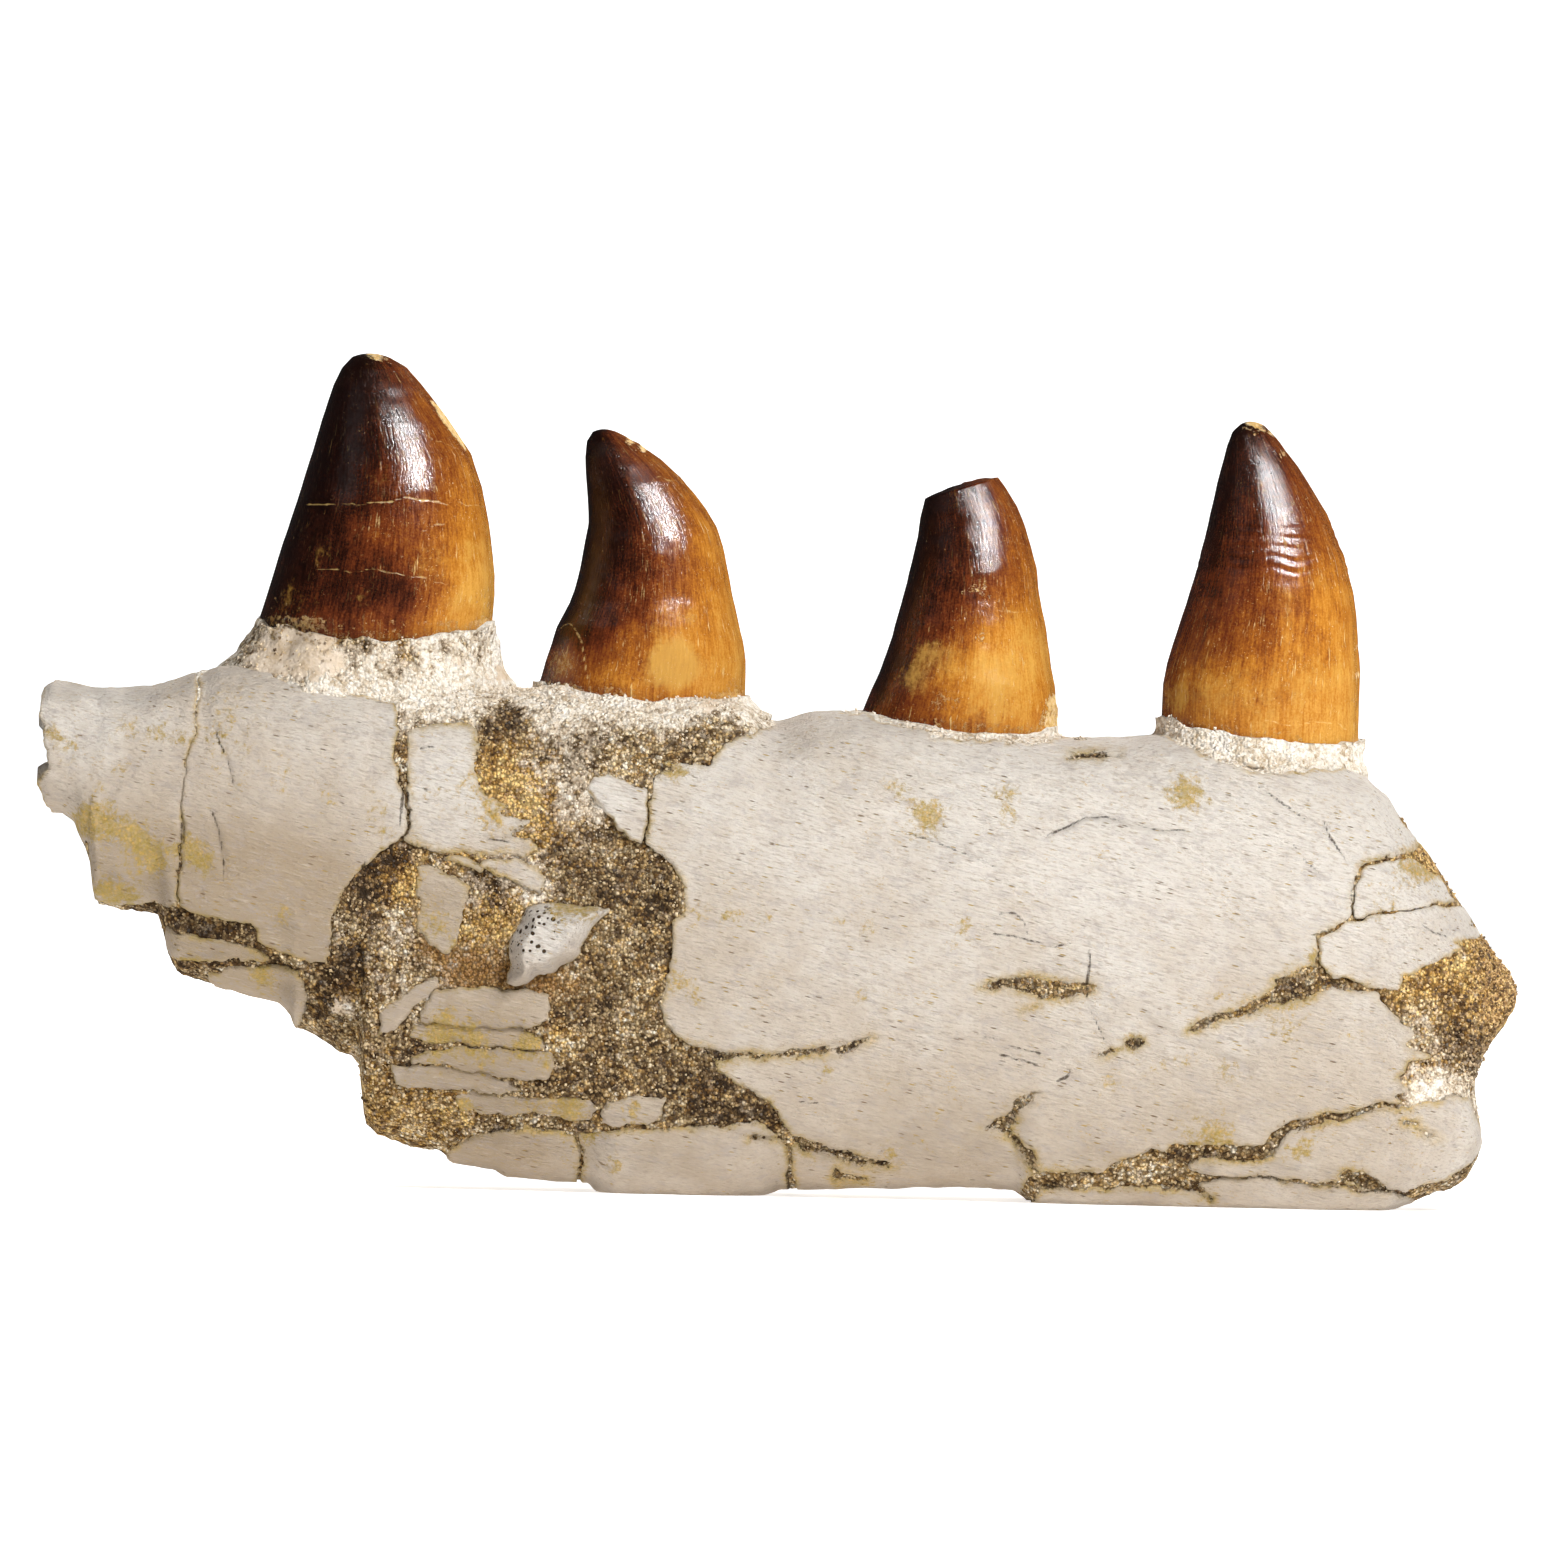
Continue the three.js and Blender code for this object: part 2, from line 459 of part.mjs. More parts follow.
// Plates of bone. Each outline is four sides of [x, z] points: bottom, right, top and left,
// anticlockwise as seen from the front. A height past the crest or the keel folds round it.
const PLATES = {
  far_left_plate: {
    thick: 4,
    outline: [
      [[-103.1, 43.4], [-99, 41.4], [-95, 42.9]],
      [[-89.9, 42.8], [-90.9, 57], [-89.1, 64]],
      [[-88.9, 77], [-95, 75.1], [-103, 74.7]],
      [[-110.3, 75.2], [-111.2, 68.5], [-110.2, 61.5], [-111, 56.8], [-107, 54.5], [-104.7, 50.4]],
    ],
  },
  left_plate: {
    thick: 5.5,
    lift: () => 0.5,
    outline: [
      [[-89.3, 42.5], [-82, 40.8], [-78, 40], [-71, 34.6]],
      [[-68.3, 33], [-66.6, 36.5], [-67, 41.5], [-61.5, 49], [-58.3, 53], [-57.8, 58], [-60.1, 65]],
      [[-58.5, 72.5], [-66, 74], [-73, 74.8], [-79.5, 77.8]],
      [[-88, 77.3], [-88.3, 64], [-90.1, 57], [-89.7, 50]],
    ],
  },
  left_ledge_sliver: {
    thick: 3.5,
    outline: [
      [[-91, 33.2], [-84, 33.6], [-77, 33.7]],
      [[-71.4, 33.5]],
      [[-72.6, 34.9], [-79.6, 36], [-86, 36.9]],
      [[-92, 37.6]],
    ],
  },
  left_edge_sliver: {
    thick: 2.8,
    outline: [
      [[-85.6, 29.2], [-81, 28.1], [-75.4, 26.9]],
      [[-72.6, 24.6]],
      [[-71.6, 29.6], [-74.5, 32.4], [-80, 32.6]],
      [[-85.4, 31]],
    ],
  },
  middle_plate: {
    thick: 5,
    outline: [
      [[-57.2, 53.3], [-50, 51.4], [-44, 51.6]],
      [[-40.6, 52.4], [-42.3, 54.4], [-40.2, 57.3], [-45.6, 62.5]],
      [[-46.4, 69.8], [-52, 71.2]],
      [[-56.8, 69.4], [-58, 62.5], [-56.8, 58]],
    ],
  },
  middle_lower_plate: {
    thick: 3.5,
    lift: () => -0.2,
    outline: [
      [[-53.6, 37.6]],
      [[-49.6, 35.8], [-47.8, 40]],
      [[-47.1, 46.4], [-52, 49.4]],
      [[-54.4, 49], [-54.1, 44]],
    ],
  },
  middle_splinter: {
    thick: 2.5,
    outline: [
      [[-50.8, 50]],
      [[-45.2, 47.3]],
      [[-44.5, 48.8]],
      [[-49.5, 50.6]],
    ],
  },
  upper_flake: {
    thick: 3,
    lift: () => 0.3,
    outline: [
      [[-42.8, 48.2]],
      [[-36.6, 45.8]],
      [[-35.8, 47.8]],
      [[-43.4, 49.7]],
    ],
  },
  standing_chip: {
    thick: 4,
    lift: chipLift,
    outline: [
      [[-41, 31.6], [-37.8, 31.4], [-34, 33.8]],
      [[-31, 35.9], [-28.6, 39]],
      [[-25.4, 43], [-31, 43.3], [-34.8, 43.8]],
      [[-38.3, 41.6], [-40, 38]],
    ],
  },
  crack_flake: {
    thick: 4,
    outline: [
      [[-25.6, 56]],
      [[-21, 52.6], [-20.2, 58]],
      [[-20.3, 60.9], [-24, 62.4]],
      [[-29, 63.2], [-29.6, 60.6]],
    ],
  },
  diagonal_splinter: {
    thick: 2.5,
    outline: [
      [[-60, 23.4], [-56, 26.8]],
      [[-51.2, 30.1]],
      [[-51.2, 31], [-56.6, 28.6]],
      [[-60.2, 24.8]],
    ],
  },
  splinter_1: {
    thick: 3,
    outline: [
      [[-54, 25.4], [-46.5, 24.9]],
      [[-35.6, 25.6]],
      [[-35, 29], [-45, 29.6]],
      [[-52.6, 29], [-53.6, 27.4]],
    ],
  },
  splinter_2: {
    thick: 2.6,
    outline: [
      [[-55.3, 22.6], [-45, 21.9]],
      [[-34.4, 21.9]],
      [[-36.6, 23.5], [-44, 24.2]],
      [[-55.3, 24.2]],
    ],
  },
  splinter_3: {
    thick: 3,
    lift: () => 0.3,
    outline: [
      [[-54.5, 19], [-45, 18.3]],
      [[-36, 17.4]],
      [[-33.6, 20.2], [-40, 21.3]],
      [[-55, 20.4]],
    ],
  },
  splinter_4: {
    thick: 2.6,
    outline: [
      [[-57, 16.7], [-50, 15]],
      [[-39, 16]],
      [[-40.8, 17], [-48, 17.8]],
      [[-57.4, 17.9]],
    ],
  },
  splinter_5: {
    thick: 3,
    outline: [
      [[-46.6, 11.4], [-36, 11.8]],
      [[-28.3, 12]],
      [[-28.4, 14.2], [-37, 14.7]],
      [[-48.6, 13.9]],
    ],
  },
  small_block: {
    thick: 3.5,
    outline: [
      [[-26.6, 11.5]],
      [[-19.8, 11.5]],
      [[-18, 14.3]],
      [[-26.6, 13.8]],
    ],
  },
  keel_plate_left: {
    thick: 4.5,
    outline: [
      [[-48.4, 3.2], [-40, 1.1]],
      [[-30.4, 0.6], [-29.6, 4.4]],
      [[-30.8, 9], [-38, 9.9]],
      [[-46.4, 8]],
    ],
  },
  keel_plate_middle: {
    thick: 5,
    outline: [
      [[-27.8, 0.3], [-24, -2.8], [-8, -2.8]],
      [[1.2, 0.1], [1.2, 4]],
      [[0.4, 7.4], [-3.2, 11.2], [-12, 10.4]],
      [[-29.2, 9.2], [-28.4, 4.8]],
    ],
  },
  keel_plate_right: {
    thick: 5,
    outline: [
      [[39.5, -2.6], [50, -3.2], [68, -3.2]],
      [[86, -2.9], [93, -0.6]],
      [[95, 2.2], [86, 3.1], [72, 3.6], [63, 2.6], [52, 2.4]],
      [[39.6, 2.2]],
    ],
  },
  main_plate: {
    thick: 6,
    outline: [
      [[2.6, 0.3], [18, 1], [28, 1.2], [36, 0.9], [38.6, 3.6], [47, 5.2], [55, 8.1], [63, 9.8],
        [73, 10.2], [80, 14.3]],
      [[93.4, 16.8], [92.4, 21.6], [97.6, 25.2], [93, 28.2], [88.6, 31.8], [81, 34.4],
        [79, 38.2], [79.6, 41.8], [84, 44.2], [85.1, 50.5], [88.5, 53.6]],
      [[93.2, 57.2], [88.5, 63.2], [84, 65.9], [76, 65.2], [67.5, 66], [57, 69.6], [48, 69.4],
        [42, 69.2], [26, 69], [12, 71.6], [7, 72.5], [2, 70.9], [-6, 68.6], [-12, 65.2]],
      [[-18, 64.4], [-19.3, 58], [-19, 52], [-14, 44.6], [-16, 38], [-16.3, 31], [-17, 26],
        [-10, 22.3], [-7.2, 18.1], [-0.8, 15], [2.5, 10.2]],
    ],
  },
  right_plate: {
    thick: 4.5,
    outline: [
      [[80.5, 38], [85, 34.9], [90.4, 34], [95.3, 36.1]],
      [[101.4, 40]],
      [[101.8, 41.6], [98, 46], [91, 44.2], [83, 41.9]],
      [[80.8, 40.6]],
    ],
  },
  right_upper_plate: {
    thick: 3.5,
    outline: [
      [[86.4, 45.4], [92, 46.8]],
      [[98.6, 47.9]],
      [[95.4, 51.4], [91.5, 52.2]],
      [[87, 51]],
    ],
  },
  right_bottom_plate: {
    thick: 4.5,
    lift: () => 0.3,
    outline: [
      [[62, 5.3], [72, 4.9], [83.6, 4.6], [87.8, 7.2], [93, 4.6]],
      [[101.2, 7], [102, 10.5]],
      [[100.3, 14], [94, 14.7], [85, 12.8], [76.6, 10.6], [73, 7.8]],
      [[62, 6.9]],
    ],
  },
  back_left_plate: {
    side: BACK,
    thick: 4.5,
    outline: [
      [[-108, 58], [-92, 50], [-72, 41]],
      [[-66, 41], [-62, 46], [-60, 60]],
      [[-61.5, 70], [-86, 71], [-98, 70]],
      [[-109, 69], [-109.6, 63]],
    ],
  },
  back_middle_plate: {
    side: BACK,
    thick: 4.5,
    outline: [
      [[-56, 38.5], [-45, 41], [-34, 40]],
      [[-24, 42], [-22, 50], [-24, 58]],
      [[-22.4, 65], [-34, 67.5], [-46, 68]],
      [[-55, 67], [-57.5, 60], [-55, 50]],
    ],
  },
  back_main_plate: {
    side: BACK,
    thick: 5,
    lift: () => 0.5,
    outline: [
      [[-18, 41], [-5, 39], [10, 40], [26, 38], [42, 39]],
      [[58, 36.5], [61, 44], [58, 52]],
      [[61, 63], [48, 66], [30, 65.4], [12, 67], [-4, 66]],
      [[-16, 65.5], [-19, 58], [-17, 50]],
    ],
  },
  back_right_plate: {
    side: BACK,
    thick: 4.5,
    outline: [
      [[62.6, 36], [75, 35], [90, 33]],
      [[99, 31.5], [99, 38], [95, 47]],
      [[88, 57], [78, 61.6]],
      [[67, 62.6], [65, 55], [62.6, 49]],
    ],
  },
  back_lower_left_plate: {
    side: BACK,
    thick: 4.5,
    outline: [
      [[-57, 13], [-48, 9.4], [-36, 7]],
      [[-22.4, 6], [-20.4, 14], [-22, 22]],
      [[-24, 32], [-38, 33.5], [-50, 31]],
      [[-58, 28.6], [-59.4, 22]],
    ],
  },
  back_lower_right_plate: {
    side: BACK,
    thick: 5,
    lift: () => 0.4,
    outline: [
      [[-18, 6], [0, 7], [20, 7], [44, 6.4], [66, 5], [80, 5]],
      [[93, 7], [98, 12], [97, 18]],
      [[94, 26], [80, 29], [62, 30], [40, 29], [22, 31], [4, 33]],
      [[-14, 32], [-17, 24], [-15, 14]],
    ],
  },
};

// Assembly
const sockets = Object.values(TEETH).map((tooth) => toothSolid(tooth, GAP));
const socketCutter = sockets.reduce((sum, socket) => sum.add(socket));
const { length, width, depth } = FLOOR_BLOCK;
const floorBlock = ofGeometry(
  new THREE.BoxGeometry(length, width, depth).translate(0, 0, -depth / 2),
);

// The largest of the bodies that a cut leaves; the others are loose crumbs.
function largest(solid) {
  return solid.decompose().sort((a, b) => b.volume() - a.volume())[0];
}

function trimmed(solid) {
  const dry = solid.subtract(floorBlock);
  return largest(dry.subtract(socketCutter));
}

function carvedRock() {
  let rock = rockSolid();
  for (const tooth of Object.values(TEETH)) rock = rock.add(collarSolid(tooth));
  for (const shape of Object.values(PLATES)) {
    const plate = plateGrids(shape);
    rock = rock.subtract(slab(pocketGrids(plate, POCKET_REACH)));
    const top = Math.max(...shape.outline[2].map(([, z]) => z));
    if (top > FEET_FROM) rock = rock.subtract(slab(pocketGrids(plate, CLEARING_REACH)));
  }
  return trimmed(rock);
}

function named(name, solid, material) {
  const { numProp, vertProperties, triVerts } = solid.getMesh();
  const positions = new Float32Array((vertProperties.length / numProp) * 3);
  for (let i = 0; i < positions.length / 3; i++) {
    positions.set(vertProperties.subarray(i * numProp, i * numProp + 3), i * 3);
  }
  const geometry = new THREE.BufferGeometry();
  geometry.setAttribute("position", new THREE.BufferAttribute(positions, 3));
  geometry.setIndex(new THREE.BufferAttribute(new Uint32Array(triVerts), 1));
  geometry.computeVertexNormals();
  const mesh = new THREE.Mesh(geometry, material);
  mesh.name = name;
  return mesh;
}

const jaw = new THREE.Group();
jaw.add(named("rock_matrix", carvedRock(), ROCK));
for (const [name, shape] of Object.entries(PLATES)) {
  jaw.add(named(name, trimmed(slab(plateGrids(shape))), BONE));
}
for (const [name, tooth] of Object.entries(TEETH)) {
  jaw.add(named(name, toothSolid(tooth), ENAMEL));
}
export default jaw;
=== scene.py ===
# %% [markdown]
# A fossil jaw with four teeth. This is a length of the jaw of a mosasaur, a large sea reptile, as
# it came out of the ground: four glossy brown teeth, pale bone that has cracked into plates and
# splinters, and the brown sandy rock that fills every crack and holds the pieces together.
# A sculpting session could make it by hand. Here each piece is worked out with numpy instead, as
# a function of two parameters on the jaw's surface, so that plates, rock and cracks fit each other.

# %% Load the frame
import math

import bpy
import numpy as np
from mathutils import Matrix, Vector


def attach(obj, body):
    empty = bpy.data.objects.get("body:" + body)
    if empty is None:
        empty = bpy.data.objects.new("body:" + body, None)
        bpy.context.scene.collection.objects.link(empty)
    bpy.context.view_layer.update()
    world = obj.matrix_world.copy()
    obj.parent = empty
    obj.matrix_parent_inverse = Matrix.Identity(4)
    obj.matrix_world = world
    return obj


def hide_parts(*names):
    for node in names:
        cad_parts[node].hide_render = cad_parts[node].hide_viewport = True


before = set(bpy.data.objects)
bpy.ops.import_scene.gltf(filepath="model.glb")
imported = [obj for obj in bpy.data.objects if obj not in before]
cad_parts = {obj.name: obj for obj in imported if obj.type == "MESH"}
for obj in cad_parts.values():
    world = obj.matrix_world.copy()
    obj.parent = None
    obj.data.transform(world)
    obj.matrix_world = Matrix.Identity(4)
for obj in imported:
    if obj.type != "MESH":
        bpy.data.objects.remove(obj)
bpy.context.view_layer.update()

MM = 0.001  # every shape below is worked out in millimetres
FRONT = -1
BACK = 1
print("solids in the frame:", len(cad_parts))

# %% [markdown]
# The camera looks straight at the broad side, from a little above. It stands far off with a long
# lens, so that near and far parts keep the same scale. The jaw leans a little in the picture, with
# its right end lower. The camera is rolled for that, because the jaw itself stands level.

# %% The camera
CAMERA_AIM = Vector((-0.6, 0, 62)) * MM
CAMERA_DISTANCE = 5.0
CAMERA_RISE = math.radians(1.2)
CAMERA_ROLL = math.radians(1.31)
PICTURE_WIDTH = 234.45 * MM
SENSOR = 36

camera = bpy.data.objects.new("camera", bpy.data.cameras.new("camera"))
camera.data.sensor_width = SENSOR
camera.data.lens = SENSOR * CAMERA_DISTANCE / PICTURE_WIDTH
camera.data.clip_end = 60
backwards = Vector((0, -math.cos(CAMERA_RISE), math.sin(CAMERA_RISE)))
level_up = Vector((0, math.sin(CAMERA_RISE), math.cos(CAMERA_RISE)))
level_across = Vector((1, 0, 0))
across = level_across * math.cos(CAMERA_ROLL) + level_up * math.sin(CAMERA_ROLL)
upwards = level_up * math.cos(CAMERA_ROLL) - level_across * math.sin(CAMERA_ROLL)
turn = Matrix((across, upwards, backwards)).transposed().to_4x4()
camera.matrix_world = Matrix.Translation(CAMERA_AIM + backwards * CAMERA_DISTANCE) @ turn
bpy.context.scene.collection.objects.link(camera)
bpy.context.scene.camera = camera
print("lens in mm:", round(camera.data.lens))

# %% [markdown]
# The light is a studio's. A bright softbox high on the right does most of the work, and leaves the
# left sides of the teeth dark. A large, dim one on the left opens the shadows, and one stands
# behind. No mirror image of these three shows on the enamel. Two narrow ones are seen by the gloss
# alone: they draw the long highlights down the crowns and leave the rest as it is. The world stays
# dim, because glossy enamel mirrors all of it as a grey veil. Colours are shown plainly, by the
# Standard view: the default one would wash out the enamel.

# %% Light


def softbox(name, place, width, height, power):
    """An area light at a place in metres, turned to face the middle of the jaw."""
    lamp = bpy.data.lights.new(name, "AREA")
    lamp.shape = "RECTANGLE"
    lamp.size = width
    lamp.size_y = height
    lamp.energy = power
    holder = bpy.data.objects.new(name, lamp)
    holder.location = place
    holder.rotation_euler = (CAMERA_AIM - Vector(place)).to_track_quat("-Z", "Y").to_euler()
    bpy.context.scene.collection.objects.link(holder)
    return holder


# Name, place, width, height and power
SOFT_LIGHTS = [
    ("key_light", (0.56, -0.66, 0.74), 0.2, 0.4, 13.2),
    ("fill_light", (-0.95, -0.55, 0.7), 0.8, 0.8, 1.9),
    ("back_light", (0.2, 0.9, 0.8), 0.6, 0.5, 6),
]
GLEAMS = [
    ("gleam_light", (0.5, -0.72, 0.8), 0.03, 0.56, 36),
    ("left_gleam", (-0.9, -0.5, 0.7), 0.05, 0.4, 0.25),
]
WORLD_STRENGTH = 0.04
for row in SOFT_LIGHTS:
    softbox(*row).visible_glossy = False
for row in GLEAMS:
    softbox(*row).visible_diffuse = False
world = bpy.data.worlds.new("dim_studio")
world.use_nodes = True
world.node_tree.nodes["Background"].inputs["Color"].default_value = (1, 1, 1, 1)
world.node_tree.nodes["Background"].inputs["Strength"].default_value = WORLD_STRENGTH
bpy.context.scene.world = world
bpy.context.scene.view_settings.view_transform = "Standard"

# %% [markdown]
# Materials are node trees. These few helpers keep each tree readable: one adds a node and sets or
# wires its inputs, and the others name the steps that come back again and again, such as a cloudy
# noise, a range that is stretched to 0 to 1, and a mix of two colours.

# %% Helpers for material nodes


def feed(tree, socket, value):
    """Wires a socket to another node's output, or sets it to a plain value."""
    if isinstance(value, bpy.types.NodeSocket):
        tree.links.new(value, socket)
    elif socket.type == "RGBA" and len(value) == 3:
        socket.default_value = (*value, 1)
    else:
        socket.default_value = value


def maths(tree, operation, *values):
    """A Math node of one or two inputs."""
    made = tree.nodes.new("ShaderNodeMath")
    made.operation = operation
    for socket, value in zip(made.inputs, values):
        feed(tree, socket, value)
    return made.outputs[0]


def spread(tree, value, low, high, to_low=0.0, to_high=1.0):
    """A smooth step: low and less gives to_low, high and more gives to_high."""
    made = tree.nodes.new("ShaderNodeMapRange")
    made.interpolation_type = "SMOOTHSTEP"
    for name, number in zip(("Value", "From Min", "From Max", "To Min", "To Max"),
                            (value, low, high, to_low, to_high)):
        feed(tree, made.inputs[name], number)
    return made.outputs["Result"]


def blend(tree, amount, first, second, mode="MIX"):
    """Mixes two colours by an amount from 0 to 1."""
    made = tree.nodes.new("ShaderNodeMix")
    made.data_type = "RGBA"
    made.blend_type = mode
    feed(tree, made.inputs["Factor"], amount)
    colours = [s for s in made.inputs if s.type == "RGBA"]
    feed(tree, colours[0], first)
    feed(tree, colours[1], second)
    return [s for s in made.outputs if s.type == "RGBA"][0]


def times(tree, first, second):
    """The product of two values."""
    return maths(tree, "MULTIPLY", first, second)


def sums(tree, *terms, offset=0.0):
    """The weighted sum of several values, and an offset."""
    total = offset
    for value, weight in terms:
        total = maths(tree, "ADD", total, times(tree, value, weight))
    return total


def stretched(tree, where, stretch, tilt=0.0):
    """Coordinates multiplied along x, y and z, after a turn about y by tilt degrees. As a texture
    mapping, the node turns first and then divides by its scale, so that streaks lie at the tilt."""
    made = tree.nodes.new("ShaderNodeMapping")
    made.vector_type = "TEXTURE"
    feed(tree, made.inputs["Vector"], where)
    made.inputs["Rotation"].default_value = (0, math.radians(tilt), 0)
    made.inputs["Scale"].default_value = [1 / factor for factor in stretch]
    return made.outputs["Vector"]


def clouds(tree, where, size_mm, detail=2.0, roughness=0.5, output="Fac"):
    """Noise from 0 to 1 whose lumps are about size_mm across; its mean is 0.5. Its output "Color"
    holds three such noises."""
    made = tree.nodes.new("ShaderNodeTexNoise")
    feed(tree, made.inputs["Vector"], where)
    made.inputs["Scale"].default_value = 1 / (size_mm * MM)
    made.inputs["Detail"].default_value = detail
    made.inputs["Roughness"].default_value = roughness
    return made.outputs[output]


def wobble(tree, where, *kind):
    """The same noise from -0.5 to 0.5, to fray an edge to both sides."""
    return maths(tree, "SUBTRACT", clouds(tree, where, *kind), 0.5)


def cells(tree, where, size_mm):
    """Voronoi cells about size_mm across: the distance to the middle and a random colour."""
    made = tree.nodes.new("ShaderNodeTexVoronoi")
    feed(tree, made.inputs["Vector"], where)
    made.inputs["Scale"].default_value = 1 / (size_mm * MM)
    return made.outputs


def channel(tree, colour, name):
    """One of the three random numbers that a cell's colour holds."""
    made = tree.nodes.new("ShaderNodeSeparateColor")
    feed(tree, made.inputs["Color"], colour)
    return made.outputs[name]


def tinted(tree, colour, tint, value, *band):
    """A colour with a tint laid over it, as far as a smooth step of the value says."""
    return blend(tree, spread(tree, value, *band), colour, tint)


def mark(tree, name, output="Fac"):
    """A value, or a vector, that the piece's own mesh carries at its points."""
    made = tree.nodes.new("ShaderNodeAttribute")
    made.attribute_name = name
    return made.outputs[output]


def shades(tree, value, stops):
    """A colour ramp of (place, colour) stops."""
    made = tree.nodes.new("ShaderNodeValToRGB")
    feed(tree, made.inputs["Fac"], value)
    ramp = made.color_ramp
    while len(ramp.elements) < len(stops):
        ramp.elements.new(1.0)
    for element, (place, colour) in zip(ramp.elements, stops):
        element.position = place
        element.color = (*colour, 1)
    return made.outputs["Color"]


def bumped(tree, height, depth_mm, normal=None):
    """A normal that shows height, from 0 to 1, as relief of depth_mm."""
    made = tree.nodes.new("ShaderNodeBump")
    made.inputs["Strength"].default_value = 1.0
    made.inputs["Distance"].default_value = depth_mm * MM
    feed(tree, made.inputs["Height"], height)
    if normal is not None:
        feed(tree, made.inputs["Normal"], normal)
    return made.outputs["Normal"]


def started(name):
    """A new material with an empty tree, its shader and the piece's own coordinates."""
    material = bpy.data.materials.new(name)
    material.use_nodes = True
    tree = material.node_tree
    tree.nodes.clear()
    shader = tree.nodes.new("ShaderNodeBsdfPrincipled")
    output = tree.nodes.new("ShaderNodeOutputMaterial")
    tree.links.new(shader.outputs["BSDF"], output.inputs["Surface"])
    where = tree.nodes.new("ShaderNodeTexCoord").outputs["Object"]
    return material, tree, shader, where


def dress(tree, shader, look):
    """Gives a shader its look: a plain value or a node's output for each input that is named."""
    for name, value in look.items():
        feed(tree, shader.inputs[name], value)


print("material helpers ready")

# %% [markdown]
# The sand is in grains of 0.5 to 1 mm: brown, grey, black, yellow and white. Cells with a random
# shade each look like that, and the gaps between cells get a painted shade. Two sizes of cell are laid over
# each other, so that no even honeycomb shows. The same sand also creeps over the edges of the
# bone, so it is a function that both materials call. Four marks of the mesh turn it: pale towards
# the whitish, crumbly mass at the feet of the teeth, gold and rust towards the stains of iron, and
# dark in patches of darker sand and as painted shade in the pits.

# %% Sand
CHALK = (0.93, 0.86, 0.77)
BEIGE = (0.77, 0.66, 0.54)
TAN = (0.5, 0.37, 0.235)
GAP_SHADOW = (0.03, 0.016, 0.006)
GRAINS = [
    (0.0, (0.035, 0.019, 0.007)), (0.2, (0.12, 0.068, 0.026)), (0.42, (0.29, 0.186, 0.082)),
    (0.62, (0.5, 0.36, 0.18)), (0.8, (0.72, 0.57, 0.36)), (1.0, (0.95, 0.86, 0.7)),
]
PALE_GRAINS = [
    (0.0, (0.46, 0.35, 0.225)), (0.3, (0.7, 0.59, 0.45)), (0.6, (0.86, 0.78, 0.665)),
    (1.0, (0.96, 0.9, 0.81)),
]
GOLD_TINT = (1.0, 0.78, 0.38)
RUST = (0.34, 0.16, 0.035)
CELL_WARP = 0.0004


def sand(tree, where):
    """Colour and height of sand. Each cell's random shade picks a grain's colour; noise of 5 mm
    makes some patches darker, and a second random number makes some grains yellow."""
    pale, gold, dark, rust = (mark(tree, name) for name in ("pale", "gold", "dark", "rust"))
    ragged = wobble(tree, where, 1.8, 4.0, 0.65)
    warped = blend(tree, CELL_WARP, where, clouds(tree, where, 1.2, output="Color"), "ADD")
    coarse = cells(tree, warped, 0.95)
    fine = cells(tree, warped, 0.5)
    patch = clouds(tree, where, 5.0, 4.0, 0.62)
    # The dark mark darkens the sand: partly darker sand, partly painted shade in the pits
    shade = sums(tree, (channel(tree, coarse["Color"], "Red"), 0.42), (dark, -0.42), (gold, 0.2),
                 (channel(tree, fine["Color"], "Red"), 0.62), (patch, 1.5), offset=-0.74)
    kind = spread(tree, channel(tree, coarse["Color"], "Green"), 0.6, 0.66, 0.0, 0.45)
    yellow = spread(tree, sums(tree, (gold, 1.0), (ragged, 1.5), (kind, 1.0)), 0.0, 0.8)
    brown = blend(tree, yellow, shades(tree, shade, GRAINS), GOLD_TINT, "MULTIPLY")
    reddish = spread(tree, sums(tree, (rust, 1.0), (ragged, 1.5)), 0.2, 0.9, 0.0, 0.6)
    brown = blend(tree, reddish, brown, RUST)
    white = spread(tree, sums(tree, (pale, 1.0), (ragged, 2.4)), 0.1, 0.85)
    colour = blend(tree, white, brown, shades(tree, shade, PALE_GRAINS))
    gaps = spread(tree, fine["Distance"], 0.32, 0.62, 0.0, 0.62)
    gaps = times(tree, gaps, spread(tree, white, 0.0, 1.0, 1.0, 0.15))
    colour = blend(tree, gaps, colour, GAP_SHADOW)
    height = sums(tree, (fine["Distance"], -0.8), (coarse["Distance"], -0.9), (patch, 0.9), offset=0.6)
    return colour, height


def sand_material():
    """The rock: sand all over, in relief, with smooth bits of bone at the feet of the teeth."""
    material, tree, shader, where = started("sandy_rock")
    ragged = wobble(tree, where, 2.2, 4.0, 0.6)
    colour, height = sand(tree, where)
    bare = spread(tree, sums(tree, (mark(tree, "bare"), 1.0), (ragged, 2.6)), 0.4, 0.75)
    smear = clouds(tree, stretched(tree, where, (0.5, 1, 1), 30), 1.8, 5.0, 0.7)
    smear = shades(tree, smear, [(0.34, TAN), (0.68, BEIGE), (0.9, CHALK)])
    height = times(tree, height, spread(tree, bare, 0.0, 1.0, 1.0, 0.25))
    dress(tree, shader, {"Base Color": blend(tree, bare, colour, smear), "Roughness": 0.95,
                         "Specular IOR Level": 0.2, "Normal": bumped(tree, height, 0.55)})
    return material


SAND = sand_material()
print("sand:", len(SAND.node_tree.nodes), "nodes")
